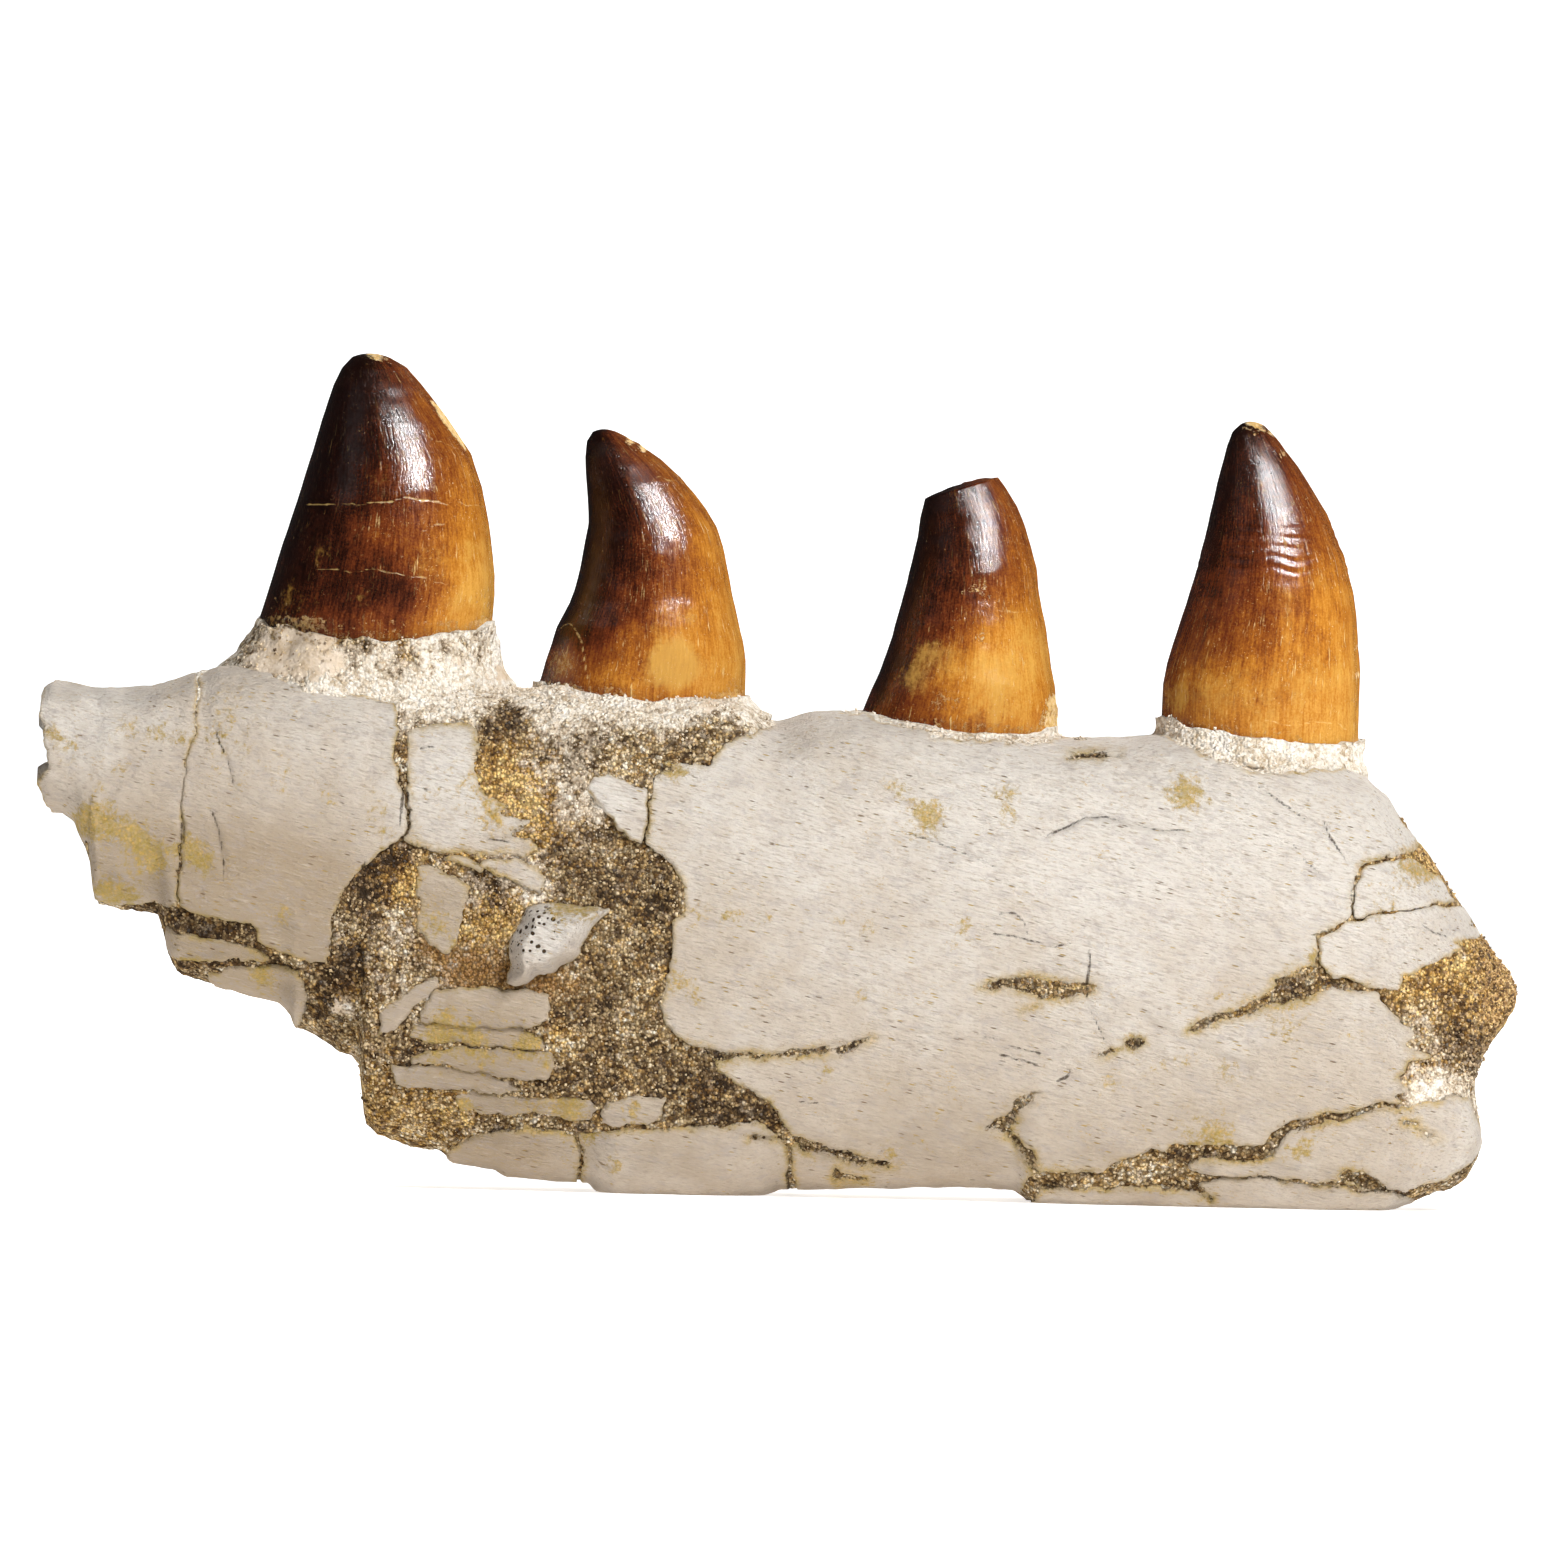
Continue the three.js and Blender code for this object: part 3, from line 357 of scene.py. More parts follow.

# %% [markdown]
# The bone is dry and chalky. It is drawn nearly white at the upper right, as painted light,
# and beige to tan on the left and along the keel, partly real ageing and partly painted shade. It
# has fine fibres and short brown pores along the jaw, and ochre where the rock has stained it. The
# mesh carries distances as marks: how far a place is inside a sand-filled crack or past the plate's
# edge (sand), how close to a hairline crack (crack), how stained (stain) and how brown (age_and_shade).
# The material adds noise to a distance before it cuts it off. That gives the frayed edge of real
# sand on bone, finer than the mesh could.

# %% Bone
PORE = (0.24, 0.13, 0.05)
OCHRE = (0.62, 0.4, 0.1)
STAIN_TINT = (1.0, 0.7, 0.28)
STAIN_GOLD = (0.74, 0.52, 0.13)
LAVENDER = (0.55, 0.47, 0.43)
HATCH_BROWN = (0.52, 0.4, 0.3)
SEAM_BROWN = (0.075, 0.042, 0.018)
# Painted light: the bone is drawn paler towards the right and towards the top, where the light is strongest
PAINTED_LIGHT_RIGHT = (-70 * MM, 95 * MM)
PAINTED_LIGHT_HIGH = (0.0, 70 * MM)


def bare_bone(tree, where):
    """Colour of clean bone, and the two noises that also give its relief. It is paler to the right
    and higher up, which is painted light, and browner where age_and_shade marks it: real ageing and painted
    shade."""
    side = tree.nodes.new("ShaderNodeSeparateXYZ")
    feed(tree, side.inputs["Vector"], where)
    # Painted light: paler to the right and higher up
    painted_light = sums(tree, (spread(tree, side.outputs["X"], *PAINTED_LIGHT_RIGHT), 0.3),
                  (spread(tree, side.outputs["Z"], *PAINTED_LIGHT_HIGH), 0.35))
    # Browner spots: real ageing, and painted shade along the keel and on the lower left
    age_and_shade = mark(tree, "age_and_shade")
    browning_light_and_shade = sums(tree, (clouds(tree, where, 20.0, 3.0), 0.9), (clouds(tree, where, 4.0, 4.0, 0.6), 0.7),
               (painted_light, -1.0), (age_and_shade, 0.75))
    colour = blend(tree, spread(tree, browning_light_and_shade, 0.1, 0.75), CHALK, BEIGE)
    colour = tinted(tree, colour, TAN, browning_light_and_shade, 0.55, 1.5, 0.0, 0.85)
    # Fibres run along the jaw and sink a little to the right
    along = stretched(tree, where, (0.11, 1, 1), 11)
    fibres = clouds(tree, along, 0.42, 4.0, 0.72)
    colour = tinted(tree, colour, BEIGE, fibres, 0.52, 0.72, 0.0, 0.6)
    colour = tinted(tree, colour, LAVENDER, fibres, 0.3, 0.46, 0.42, 0.0)
    hatch = clouds(tree, stretched(tree, where, (0.2, 1, 1), 14), 0.3, 2.0, 0.6)
    colour = tinted(tree, colour, HATCH_BROWN, hatch, 0.28, 0.5, 0.55, 0.0)
    mottle = clouds(tree, stretched(tree, where, (0.5, 1, 1), 12), 1.8, 6.0, 0.75)
    colour = tinted(tree, colour, LAVENDER, mottle, 0.34, 0.5, 0.4, 0.0)
    # Golden bloom in loose clouds of specks
    flakes = clouds(tree, stretched(tree, where, (0.4, 1, 1), 9), 0.42, 4.0, 0.75)
    bloom = sums(tree, (clouds(tree, where, 7.0, 3.0), 0.45), (flakes, 1.0))
    colour = tinted(tree, colour, OCHRE, bloom, 0.86, 0.95, 0.0, 0.6)
    return colour, fibres, mottle


def pitted(tree, where, colour):
    """The colour with pores and sponge, and how deep each of the two is."""
    # Pores: long thin cells, of which only the middles are dark, in loose groups
    pores = cells(tree, stretched(tree, where, (0.26, 0.8, 1.3), 12), 0.62)
    groups = spread(tree, clouds(tree, where, 6.0, 3.0), 0.4, 0.6, 0.1, 1.0)
    holes = times(tree, spread(tree, pores["Distance"], 0.29, 0.12), groups)
    holes = times(tree, holes, spread(tree, channel(tree, pores["Color"], "Red"), 0.45, 0.6))
    light = spread(tree, channel(tree, pores["Color"], "Green"), 0.2, 0.7)
    colour = blend(tree, times(tree, holes, 0.85), colour, blend(tree, light, PORE, OCHRE))
    # One chip shows spongy bone, with round dark holes
    sponge = cells(tree, where, 0.95)
    dots = sums(tree, (channel(tree, sponge["Color"], "Red"), 0.24), (sponge["Distance"], -1.0), offset=0.2)
    spongy = spread(tree, mark(tree, "pored"), 0.35, 0.6)
    dots = times(tree, spread(tree, dots, 0.0, 0.08), spongy)
    return blend(tree, dots, colour, SEAM_BROWN), holes, dots


def bone_material():
    """Chalky bone, with fibres, pores, stains, hairline cracks and sand on its edges."""
    material, tree, shader, where = started("chalky_bone")
    colour, fibres, mottle = bare_bone(tree, where)
    colour, holes, dots = pitted(tree, where, colour)
    # Stains and the golden fringe round the sand
    ragged = wobble(tree, where, 1.0, 5.0, 0.75)
    broad = wobble(tree, where, 3.4, 3.0, 0.6)
    crumbs = clouds(tree, where, 0.65, 5.0, 0.75)
    stain = sums(tree, (mark(tree, "stain"), 0.9), (ragged, 2.8), (broad, 1.0))
    grainy = spread(tree, crumbs, 0.35, 0.6, 0.6, 1.0)
    grains, grain_height = sand(tree, where)
    ochres = blend(tree, 0.68, blend(tree, 1.0, grains, STAIN_TINT, "MULTIPLY"), STAIN_GOLD)
    stain = times(tree, spread(tree, stain, 0.34, 0.95, 0.0, 0.95), grainy)
    colour = blend(tree, stain, colour, ochres)
    reach = sums(tree, (mark(tree, "sand"), 1.0), (ragged, 1.9), (broad, 1.6))
    fringe = times(tree, spread(tree, reach, -1.5, 0.2, 0.0, 0.9),
                   spread(tree, clouds(tree, where, 6.0, 3.0), 0.38, 0.6, 0.2, 1.0))
    colour = blend(tree, times(tree, fringe, grainy), colour, ochres)
    # Crumbs of sand lie on the bone, more of them near the edges
    strewn = spread(tree, sums(tree, (crumbs, 1.0), (reach, 0.045)), 0.58, 0.66, 0.0, 0.75)
    colour = blend(tree, strewn, colour, RUST)
    buried = spread(tree, reach, 0.0, 0.3)
    colour = blend(tree, buried, colour, grains)
    crack = sums(tree, (mark(tree, "crack"), 1.0), (ragged, 0.7))
    split = spread(tree, crack, -0.14, 0.1)
    colour = blend(tree, times(tree, split, 0.85), colour, SEAM_BROWN)
    relief = sums(tree, (fibres, 1.5), (mottle, 1.5), (holes, -0.6), (split, -0.8), (strewn, 0.4),
                  (dots, -0.8), (times(tree, stain, grain_height), 0.6))
    fine = bumped(tree, relief, 0.8)
    sandy = bumped(tree, times(tree, grain_height, buried), 0.4, fine)
    dress(tree, shader, {"Base Color": colour, "Roughness": 0.85,
                         "Specular IOR Level": 0.25, "Normal": sandy})
    return material


BONE = bone_material()
print("bone:", len(BONE.node_tree.nodes), "nodes")

# %% [markdown]
# The enamel is the jewel of the piece: nearly black at the front edge and tip of a tooth, maroon
# and chocolate in its middle and amber to gold at its base. The mesh carries that as a tone from 0
# to 1. Fine striae run from base to tip; they streak the colour and break up the highlights. More
# marks say where cream dentine is bared at chips and tips (worn), where a matt yellow film is left
# (dull), and where a rusty crust clings (crust). Thin golden cracks cross the crowns.

# %% Enamel
ENAMEL_SHADES = [
    (0.0, (0.008, 0.0016, 0.0008)), (0.2, (0.035, 0.008, 0.003)), (0.38, (0.12, 0.025, 0.006)),
    (0.56, (0.25, 0.072, 0.01)), (0.74, (0.44, 0.165, 0.018)), (1.0, (0.62, 0.32, 0.06)),
]
DENTINE = (0.78, 0.58, 0.36)
FILM = (0.55, 0.33, 0.06)
FLECK = (0.74, 0.5, 0.17)
CRUST = (0.5, 0.24, 0.045)


def flecked(tree, where, along, tone):
    """Flecks: thin golden dashes along the striae, and crumbs, thicker towards the base. Returns
    how much they cover, and the crumbs alone."""
    lit = spread(tree, tone, 0.2, 0.6, 0.06, 0.8)
    dashes = spread(tree, clouds(tree, along, 0.42, 3.0, 0.8), 0.6, 0.68)
    crumbs = spread(tree, clouds(tree, where, 0.42, 3.0, 0.7), 0.62, 0.7)
    clusters = spread(tree, clouds(tree, where, 4.0, 3.0, 0.6), 0.4, 0.6, 0.15, 1.0)
    flecks = maths(tree, "MAXIMUM", dashes, crumbs)
    return times(tree, times(tree, flecks, clusters), lit), crumbs


def enamel_material():
    """Glossy enamel over streaks, specks, films, chips and cracks."""
    material, tree, shader, where = started("tooth_enamel")
    along = mark(tree, "grain", "Vector")
    striae = clouds(tree, along, 0.22, 3.0, 0.6)
    bands = clouds(tree, along, 1.2, 3.0, 0.6)
    blotches = clouds(tree, where, 3.4, 4.0, 0.6)
    grit = clouds(tree, where, 0.32, 2.0, 0.6)
    tone = sums(tree, (mark(tree, "tone"), 1.0), (striae, 0.5), (bands, 0.3), (blotches, 0.4),
                (grit, 0.4), offset=-0.87)
    colour = shades(tree, tone, ENAMEL_SHADES)
    flecks, crumbs = flecked(tree, where, along, tone)
    colour = blend(tree, flecks, colour, FLECK)
    ragged = wobble(tree, where, 0.9, 5.0, 0.75)
    smear = maths(tree, "SUBTRACT", bands, 0.5)
    film = sums(tree, (mark(tree, "dull"), 1.0), (ragged, 1.6), (smear, 1.2))
    film = spread(tree, film, 0.25, 1.1, 0.0, 0.75)
    colour = blend(tree, film, colour, blend(tree, striae, CRUST, FILM))
    crust = sums(tree, (mark(tree, "crust"), 1.0), (ragged, 3.6))
    crust = times(tree, spread(tree, crust, 0.3, 0.75, 0.0, 0.9), spread(tree, crumbs, 0.0, 1.0, 0.6, 1.0))
    rusty = blend(tree, spread(tree, clouds(tree, where, 0.8, 4.0, 0.7), 0.42, 0.62), CRUST, FLECK)
    colour = blend(tree, crust, colour, rusty)
    worn = sums(tree, (mark(tree, "worn"), 1.0), (ragged, 2.4))
    worn = spread(tree, worn, 0.4, 0.62)
    bared = clouds(tree, where, 0.6, 4.0, 0.7)
    bared = shades(tree, bared, [(0.36, CRUST), (0.5, FLECK), (0.62, DENTINE)])
    colour = blend(tree, worn, colour, bared)
    crack = sums(tree, (mark(tree, "crack"), 1.0), (ragged, 0.35))
    crack = spread(tree, crack, -0.08, 0.08, 0.0, 0.5)
    colour = blend(tree, crack, colour, FLECK)
    rough = sums(tree, (striae, 0.2), (film, 0.1), (crust, 0.4), (worn, 0.4), (flecks, 0.2), offset=0.06)
    relief = sums(tree, (striae, 0.9), (bands, 0.4), (crack, -1.0), (crust, 2.0), (flecks, 1.0), (worn, -1.0),
                  (times(tree, film, ragged), 1.0))
    dress(tree, shader, {"Base Color": colour, "Roughness": rough,
                         "Specular IOR Level": 0.4, "Normal": bumped(tree, relief, 0.08)})
    return material


ENAMEL = enamel_material()
print("enamel:", len(ENAMEL.node_tree.nodes), "nodes")

# %% [markdown]
# Nothing on a fossil is smooth or even, so every shape below is roughened with noise. Value noise
# is the simplest kind: a fixed pseudo-random number at each corner of a grid of unit cells,
# blended smoothly in between. It depends on the place alone, so it is the same on each run, and
# two pieces that meet are roughened alike.

# %% Noise
MIXERS = [np.uint64(n) for n in (2654435761, 2246822519, 3266489917, 668265263)]
LOW_BITS = np.uint64(0xFFFFFFFF)


def scrambled(corner, seed):
    """A number from 0 to 1 for each row of whole numbers: each is added in and multiplied by a
    large odd number, and the upper bits are folded down."""
    mixed = np.full(corner.shape[:-1], seed, np.uint64)
    for axis in range(corner.shape[-1]):
        mixed = (mixed + (corner[..., axis].astype(np.int64) & 0xFFFFFFFF).astype(np.uint64)) & LOW_BITS
        mixed = (mixed * MIXERS[axis]) & LOW_BITS
        mixed ^= mixed >> np.uint64(15)
    mixed = (mixed * MIXERS[3]) & LOW_BITS
    mixed ^= mixed >> np.uint64(13)
    return mixed.astype(np.float64) / float(0xFFFFFFFF)


def noise(places, size, seed=0):
    """Smooth noise from -1 to 1 with lumps of the given size: corner values, blended along each
    axis by 3t^2 - 2t^3."""
    scaled = places / size
    corner = np.floor(scaled)
    part = scaled - corner
    part = part * part * (3 - 2 * part)
    total = np.zeros(places.shape[:-1])
    for step in np.ndindex(*(2,) * places.shape[-1]):
        weight = np.prod(np.where(step, part, 1 - part), axis=-1)
        total += weight * scrambled(corner + step, seed)
    return 2 * total - 1


def layered(places, *layers):
    """The sum of several noises, each given as its height, its size and its seed."""
    return sum(height * noise(places, size, seed) for height, size, seed in layers)


def smooth(value, low, high):
    """0 below low, 1 above high, and 3t^2 - 2t^3 in between."""
    t = np.clip((value - low) / (high - low), 0, 1)
    return t * t * (3 - 2 * t)


print("noise at a sample place:", round(float(noise(np.array([[1.5, 2.5, 3.5]]), 2.0)[0]), 3))

# %% [markdown]
# The jaw's body is one surface with two parameters: x along the jaw, and girth round it. Girth is
# 0 at the keel, 1 at the crest by way of the front, and 2 back at the keel. The section is a
# superellipse, boxier in its upper half, where it holds the teeth. Tables give the crest, the keel
# and the thickness along the jaw. Every plate and the rock lie on this surface.

# %% The jaw's surface
KEEL_POWER = 2.8
CREST_POWER = 4
SECTION_ASPECT = 0.55
UPPER_LEAN = 0.1
CREST = [
    (-111.5, 73.8), (-110.2, 74.8), (-108, 74.5), (-104, 74), (-99, 74.1), (-95, 74.6), (-91, 75.6),
    (-88, 76.7), (-85, 77.4), (-80, 77.6), (-75, 77.3), (-65, 77), (-55, 76.6), (-48, 76), (-41, 75.2),
    (-38, 75.6), (-34, 76.2), (-28, 75.8), (-18, 75.4), (-9, 74.8), (-6, 73.6), (-4, 72), (-1.5, 71.2),
    (1, 71.8), (4, 72.7), (7, 72.9), (12, 72.9), (17, 72.4), (25, 71.6), (34, 70.6), (41, 69.7), (50, 69.8),
    (56, 70.6), (64, 70.2), (74, 69), (82, 67.4), (87, 65.2), (90, 62.4), (92, 59.6), (94.5, 56.2),
    (97, 52.9), (100, 48.2), (104, 43), (107.2, 38.6), (109, 36.5), (110.5, 33.4),
]
KEEL = [
    (-111.5, 56.5), (-110.5, 55), (-108, 54.6), (-106.3, 53.2), (-105.2, 50.3), (-104.2, 49.4),
    (-103.6, 44), (-103, 41.2), (-100, 40.2), (-96, 39.8), (-93.6, 39.2), (-93, 37.8), (-92.2, 34.2),
    (-91.2, 31.6), (-90.2, 30.1), (-86, 29.6), (-82, 28.7), (-75.2, 27.3), (-73.8, 25.8), (-72.8, 23.8),
    (-70, 22.9), (-67.8, 21.2), (-66, 19.9), (-64, 19.2), (-62.8, 17.6), (-62.3, 12), (-61.8, 9.2),
    (-60, 7.5), (-55, 6.1), (-50.2, 5.3), (-49, 4), (-42.3, 2.9), (-40.5, 1.9), (-30.5, 1.3), (-28.2, 1.4),
    (-26.4, -0.6), (-24, -2), (-8, -2), (-3, -0.6), (0.5, 0.9), (10, 1.2), (20, 1.8), (30, 1.8),
    (35.6, 1.5), (36.8, 0.3), (38.2, -1.6), (45, -2.4), (84, -2.4), (91, -1.2), (94.5, 0.6), (98, 1.8),
    (101, 3.2), (103, 4.9), (104.2, 8), (104.8, 13), (105.2, 19), (105.9, 23.2), (107, 25.6), (108.6, 27.6),
    (110.5, 31),
]
HALF_THICKNESS = [
    (-111.5, 10.5), (-100, 13), (-80, 17), (-60, 19.5), (-30, 20.5), (0, 21), (40, 21.5), (72, 21.5),
    (90, 20), (103, 15.5), (108, 11), (110.5, 6),
]
END_LOBES = [(0, 0), (6, 0.6), (10.5, 1.2), (15, 0), (18.5, -1.3), (22, -0.6), (26, 0)]
END_LOBES_FROM = 97
END_LOBES_FULL = 104


def at(table, x):
    """The table's value at each x, straight between its rows."""
    rows = np.array(table)
    return np.interp(x, rows[:, 0], rows[:, 1])


def walked_section():
    """Share of the way up the front half of the section, with the height (-1 to 1) and the
    width (0 to 1) there: up = sin^(2/p), out = cos^(2/p)."""
    angle = np.linspace(-np.pi / 2, np.pi / 2, 181)
    power = np.where(angle < 0, KEEL_POWER, CREST_POWER)
    up = np.sign(np.sin(angle)) * np.abs(np.sin(angle)) ** (2 / power)
    out = np.abs(np.cos(angle)) ** (2 / power)
    way = np.concatenate([[0], np.cumsum(np.hypot(np.diff(up), SECTION_ASPECT * np.diff(out)))])
    return way / way[-1], up, out


SECTION_WAY, SECTION_UP, SECTION_OUT = walked_section()


def girth_of(x, z, side):
    """Girth of a place that is seen at x and z. What passes the crest or keel folds round it."""
    top, bottom = at(CREST, x), at(KEEL, x)
    over, under = z > top, z < bottom
    height = np.where(over, 2 * top - z, np.where(under, 2 * bottom - z, z))
    up = np.clip(2 * (height - bottom) / (top - bottom) - 1, -1, 1)
    share = np.interp(up, SECTION_UP, SECTION_WAY)
    seen = np.where(over, 2 - share, np.where(under, -share, share))
    return seen if side == FRONT else 2 - seen


def jaw_surface(x, girth, depth):
    """Points of the jaw's surface, or of the same surface shrunk by depth mm."""
    turned = np.mod(girth, 2)
    side = np.where(turned <= 1, FRONT, BACK)
    half = np.where(turned <= 1, turned, 2 - turned)
    up = np.interp(half, SECTION_WAY, SECTION_UP)
    out = np.interp(half, SECTION_WAY, SECTION_OUT)
    top, bottom = at(CREST, x) - depth, at(KEEL, x) + depth
    z = (top + bottom) / 2 + up * (top - bottom) / 2
    lean = 1 - UPPER_LEAN * ((1 + up) / 2 - 0.4)
    y = side * (at(HALF_THICKNESS, x) - depth) * out * lean
    lobes = smooth(x, END_LOBES_FROM, END_LOBES_FULL) * at(END_LOBES, z)
    return np.stack([x + lobes, y, z], axis=-1)


def swells(places):
    """The slow lumps that plates and rock share, in mm: noise of 17, 6 and 3 mm."""
    return layered(places, (0.5, 17.0, 5), (0.24, 6.0, 6), (0.1, 3.0, 7))


print("jaw height at the middle:", round(float(at(CREST, 0) - at(KEEL, 0)), 1), "mm")

# %% [markdown]
# Two helpers turn arrays into Blender meshes. A loft is a row of closed rings with a pole at each
# end: the rock, the feet of the teeth and the crowns are lofts. The other puts points, faces and
# marks into a mesh object at the origin, hangs it under the root body and hides the solids it replaces.

# %% Meshes


def loft(rings, first_pole, last_pole, flipped=False):
    """Points and faces of a closed skin over rings of the same number of points."""
    count, around = rings.shape[:2]
    points = np.concatenate([[first_pole], rings.reshape(-1, 3), [last_pole]])
    index = 1 + np.arange(count * around).reshape(count, around)
    beside = np.roll(index, -1, axis=1)
    quads = np.stack([index[:-1], index[1:], beside[1:], beside[:-1]], axis=-1).reshape(-1, 4)
    first = np.stack([np.zeros_like(index[0]), index[0], beside[0]], axis=-1)
    last = np.stack([np.full_like(index[0], len(points) - 1), beside[-1], index[-1]], axis=-1)
    faces = [quads, first, last]
    return points, [f[:, ::-1] for f in faces] if flipped else faces


def put_mesh(name, points, faces, marks, material, slot, *nodes):
    """A mesh object from points in mm, faces, and one value or vector for each point and mark."""
    mesh = bpy.data.meshes.new(name)
    mesh.from_pydata((points * MM).tolist(), [], [f for group in faces for f in group.tolist()])
    for mark_name, values in marks.items():
        kind, field = ("FLOAT_VECTOR", "vector") if values.ndim == 2 else ("FLOAT", "value")
        layer = mesh.attributes.new(mark_name, kind, "POINT")
        layer.data.foreach_set(field, values.astype(np.float32).ravel())
    mesh.polygons.foreach_set("use_smooth", np.ones(len(mesh.polygons), bool))
    mesh.materials.append(material)
    piece = bpy.data.objects.new(name, mesh)
    bpy.context.scene.collection.objects.link(piece)
    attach(piece, "root")
    if nodes:
        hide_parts(*nodes)
    return piece


def blobs(x, z, table):
    """The sum of soft round spots, from rows of x, z, radius and strength."""
    total = np.zeros(np.shape(x))
    for spot_x, spot_z, radius, strength in table:
        total += strength * np.exp(-((x - spot_x) ** 2 + (z - spot_z) ** 2) / radius**2)
    return total


FAR_OFF = -9.0


def inside(x, z, path):
    """How far inside a vein each place is, in mm: its half width less the distance to its middle
    line, from rows of x, z and half width."""
    best = np.full(np.shape(x), FAR_OFF)
    for (x0, z0, half0), (x1, z1, half1) in zip(path[:-1], path[1:]):
        way_x, way_z = x1 - x0, z1 - z0
        t = np.clip(((x - x0) * way_x + (z - z0) * way_z) / (way_x**2 + way_z**2), 0, 1)
        gap = np.hypot(x - x0 - t * way_x, z - z0 - t * way_z)
        best = np.maximum(best, half0 + t * (half1 - half0) - gap)
    return best


def inside_any(x, z, paths):
    """The same for the nearest of several veins."""
    return np.maximum.reduce([inside(x, z, path) for path in paths])


print("mesh helpers ready")

# %% [markdown]
# A bone plate is the part of the jaw's surface inside an outline. The outline is sampled closely,
# its corners are rounded, and it is frayed by noise of place, so that the two banks of a crack
# still match. A grid of x and girth is laid under it. Cells that reach inside are kept, and those
# of their corners that lie outside are moved to the nearest point of the outline. That keeps the
# grid even in the middle and true to the outline at the edge, however crooked that is.

# %% Filling an outline
EDGE_SAMPLE = 0.2
ROUNDING_PASSES = 5
SECTION_LENGTH = 95.0
SNAP = 0.35
AT_ONCE = 3000
# Where the broken right end is fibrous: across x, below the top and above the bottom
FIBROUS = ((84, 90), (46, 42), (14, 18))
FIBRE_REACH = 2.4
DRAWN_OUT = np.array([0.1, 1.0])
EDGE_NOISE_FROM = 500.0


def frayed(path):
    """Moves places by noise: lumps of 2.3 and 0.8 mm, and long fibres by the broken right end."""
    x, z = path.T
    fibrous = smooth(x, *FIBROUS[0]) * smooth(z, *FIBROUS[1]) * smooth(z, *FIBROUS[2])
    here = path + EDGE_NOISE_FROM
    shift_x = layered(here, (0.5, 2.3, 11), (0.26, 0.8, 12))
    shift_z = layered(here, (0.42, 2.0, 13), (0.22, 0.8, 14))
    fibres = FIBRE_REACH * noise(here * DRAWN_OUT, 1.3, 15)
    return path + np.stack([shift_x + fibres * fibrous, shift_z], axis=-1)


def resampled(path, shares):
    """Points of a path at shares of its length."""
    way = np.concatenate([[0], np.cumsum(np.hypot(*np.diff(path, axis=0).T))])
    return np.stack([np.interp(shares, way / way[-1], column) for column in path.T], axis=-1)


def closed_loop(outline):
    """An outline as one closed loop: sampled, rounded by a moving average and frayed."""
    corners = np.array(outline, float)
    path = np.concatenate([corners, corners[:1]])
    length = np.hypot(*np.diff(path, axis=0).T).sum()
    path = resampled(path, np.linspace(0, 1, int(length / EDGE_SAMPLE), endpoint=False))
    for _ in range(ROUNDING_PASSES):
        path = (np.roll(path, 1, axis=0) + 2 * path + np.roll(path, -1, axis=0)) / 4
    return frayed(path)


def nearest_on(points, loop):
    """Distance from each point to a loop's nearest point, and that point's number."""
    gap, number = np.empty(len(points)), np.empty(len(points), int)
    for start in range(0, len(points), AT_ONCE):
        part = points[start:start + AT_ONCE]
        squares = (part**2).sum(1)[:, None] - 2 * part @ loop.T + (loop**2).sum(1)
        number[start:start + AT_ONCE] = squares.argmin(1)
        gap[start:start + AT_ONCE] = np.sqrt(np.maximum(squares.min(1), 0))
    return gap, number


def enclosed(places, loop):
    """Which places lie inside a loop: a line to the right crosses it an odd number of times."""
    found = np.zeros(len(places), bool)
    (x0, z0), (x1, z1) = loop.T, np.roll(loop, -1, axis=0).T
    slope = (x1 - x0) / np.where(z1 == z0, 1, z1 - z0)
    near = np.flatnonzero(((places > loop.min(0)) & (places < loop.max(0))).all(1))
    for start in range(0, len(near), AT_ONCE):
        some = near[start:start + AT_ONCE]
        x, z = places[some, 0, None], places[some, 1, None]
        crossed = ((z0 > z) != (z1 > z)) & (x < x0 + (z - z0) * slope)
        found[some] = crossed.sum(1) % 2 == 1
    return found


def clipped_grid(loop, cell):
    """The grid of x and girth inside a loop: its points, quads and distances to the edge."""
    steps = np.array([cell, cell / SECTION_LENGTH])
    lines = [np.arange(low - step, high + 2 * step, step)
             for low, high, step in zip(loop.min(0), loop.max(0), steps)]
    grid = np.stack(np.meshgrid(*lines, indexing="ij"), axis=-1)
    flat = grid.reshape(-1, 2)
    gap, number = nearest_on(jaw_surface(*flat.T, 0.0), jaw_surface(*loop.T, 0.0))
    core = (enclosed(flat, loop) & (gap > SNAP * cell)).reshape(grid.shape[:2])
    grown = np.pad(core, 1)
    beside = sum(np.roll(grown, step, axis=(0, 1)) for step in np.ndindex(3, 3))
    ring = ((np.roll(beside, (-1, -1), axis=(0, 1))[1:-1, 1:-1] > 0) & ~core).ravel()
    flat[ring] = loop[number[ring]]
    index = np.arange(len(flat)).reshape(core.shape)
    quads = np.stack([index[:-1, :-1], index[1:, :-1], index[1:, 1:], index[:-1, 1:]], axis=-1)
    quads = quads.reshape(-1, 4)
    quads = quads[core.ravel()[quads].any(axis=1)]
    used, quads = np.unique(quads, return_inverse=True)
    return flat[used], quads.reshape(-1, 4), np.where(core.ravel(), gap, 0)[used]


def rim_edges(quads, count):
    """Pairs of points along the open edge: sides of quads that no other quad runs back along."""
    sides = np.concatenate([quads[:, [k, (k + 1) % 4]] for k in range(4)])
    forth, back = sides[:, 0] * count + sides[:, 1], sides[:, 1] * count + sides[:, 0]
    return sides[~np.isin(forth, back)]


print("cells snap within", SNAP, "of a cell")
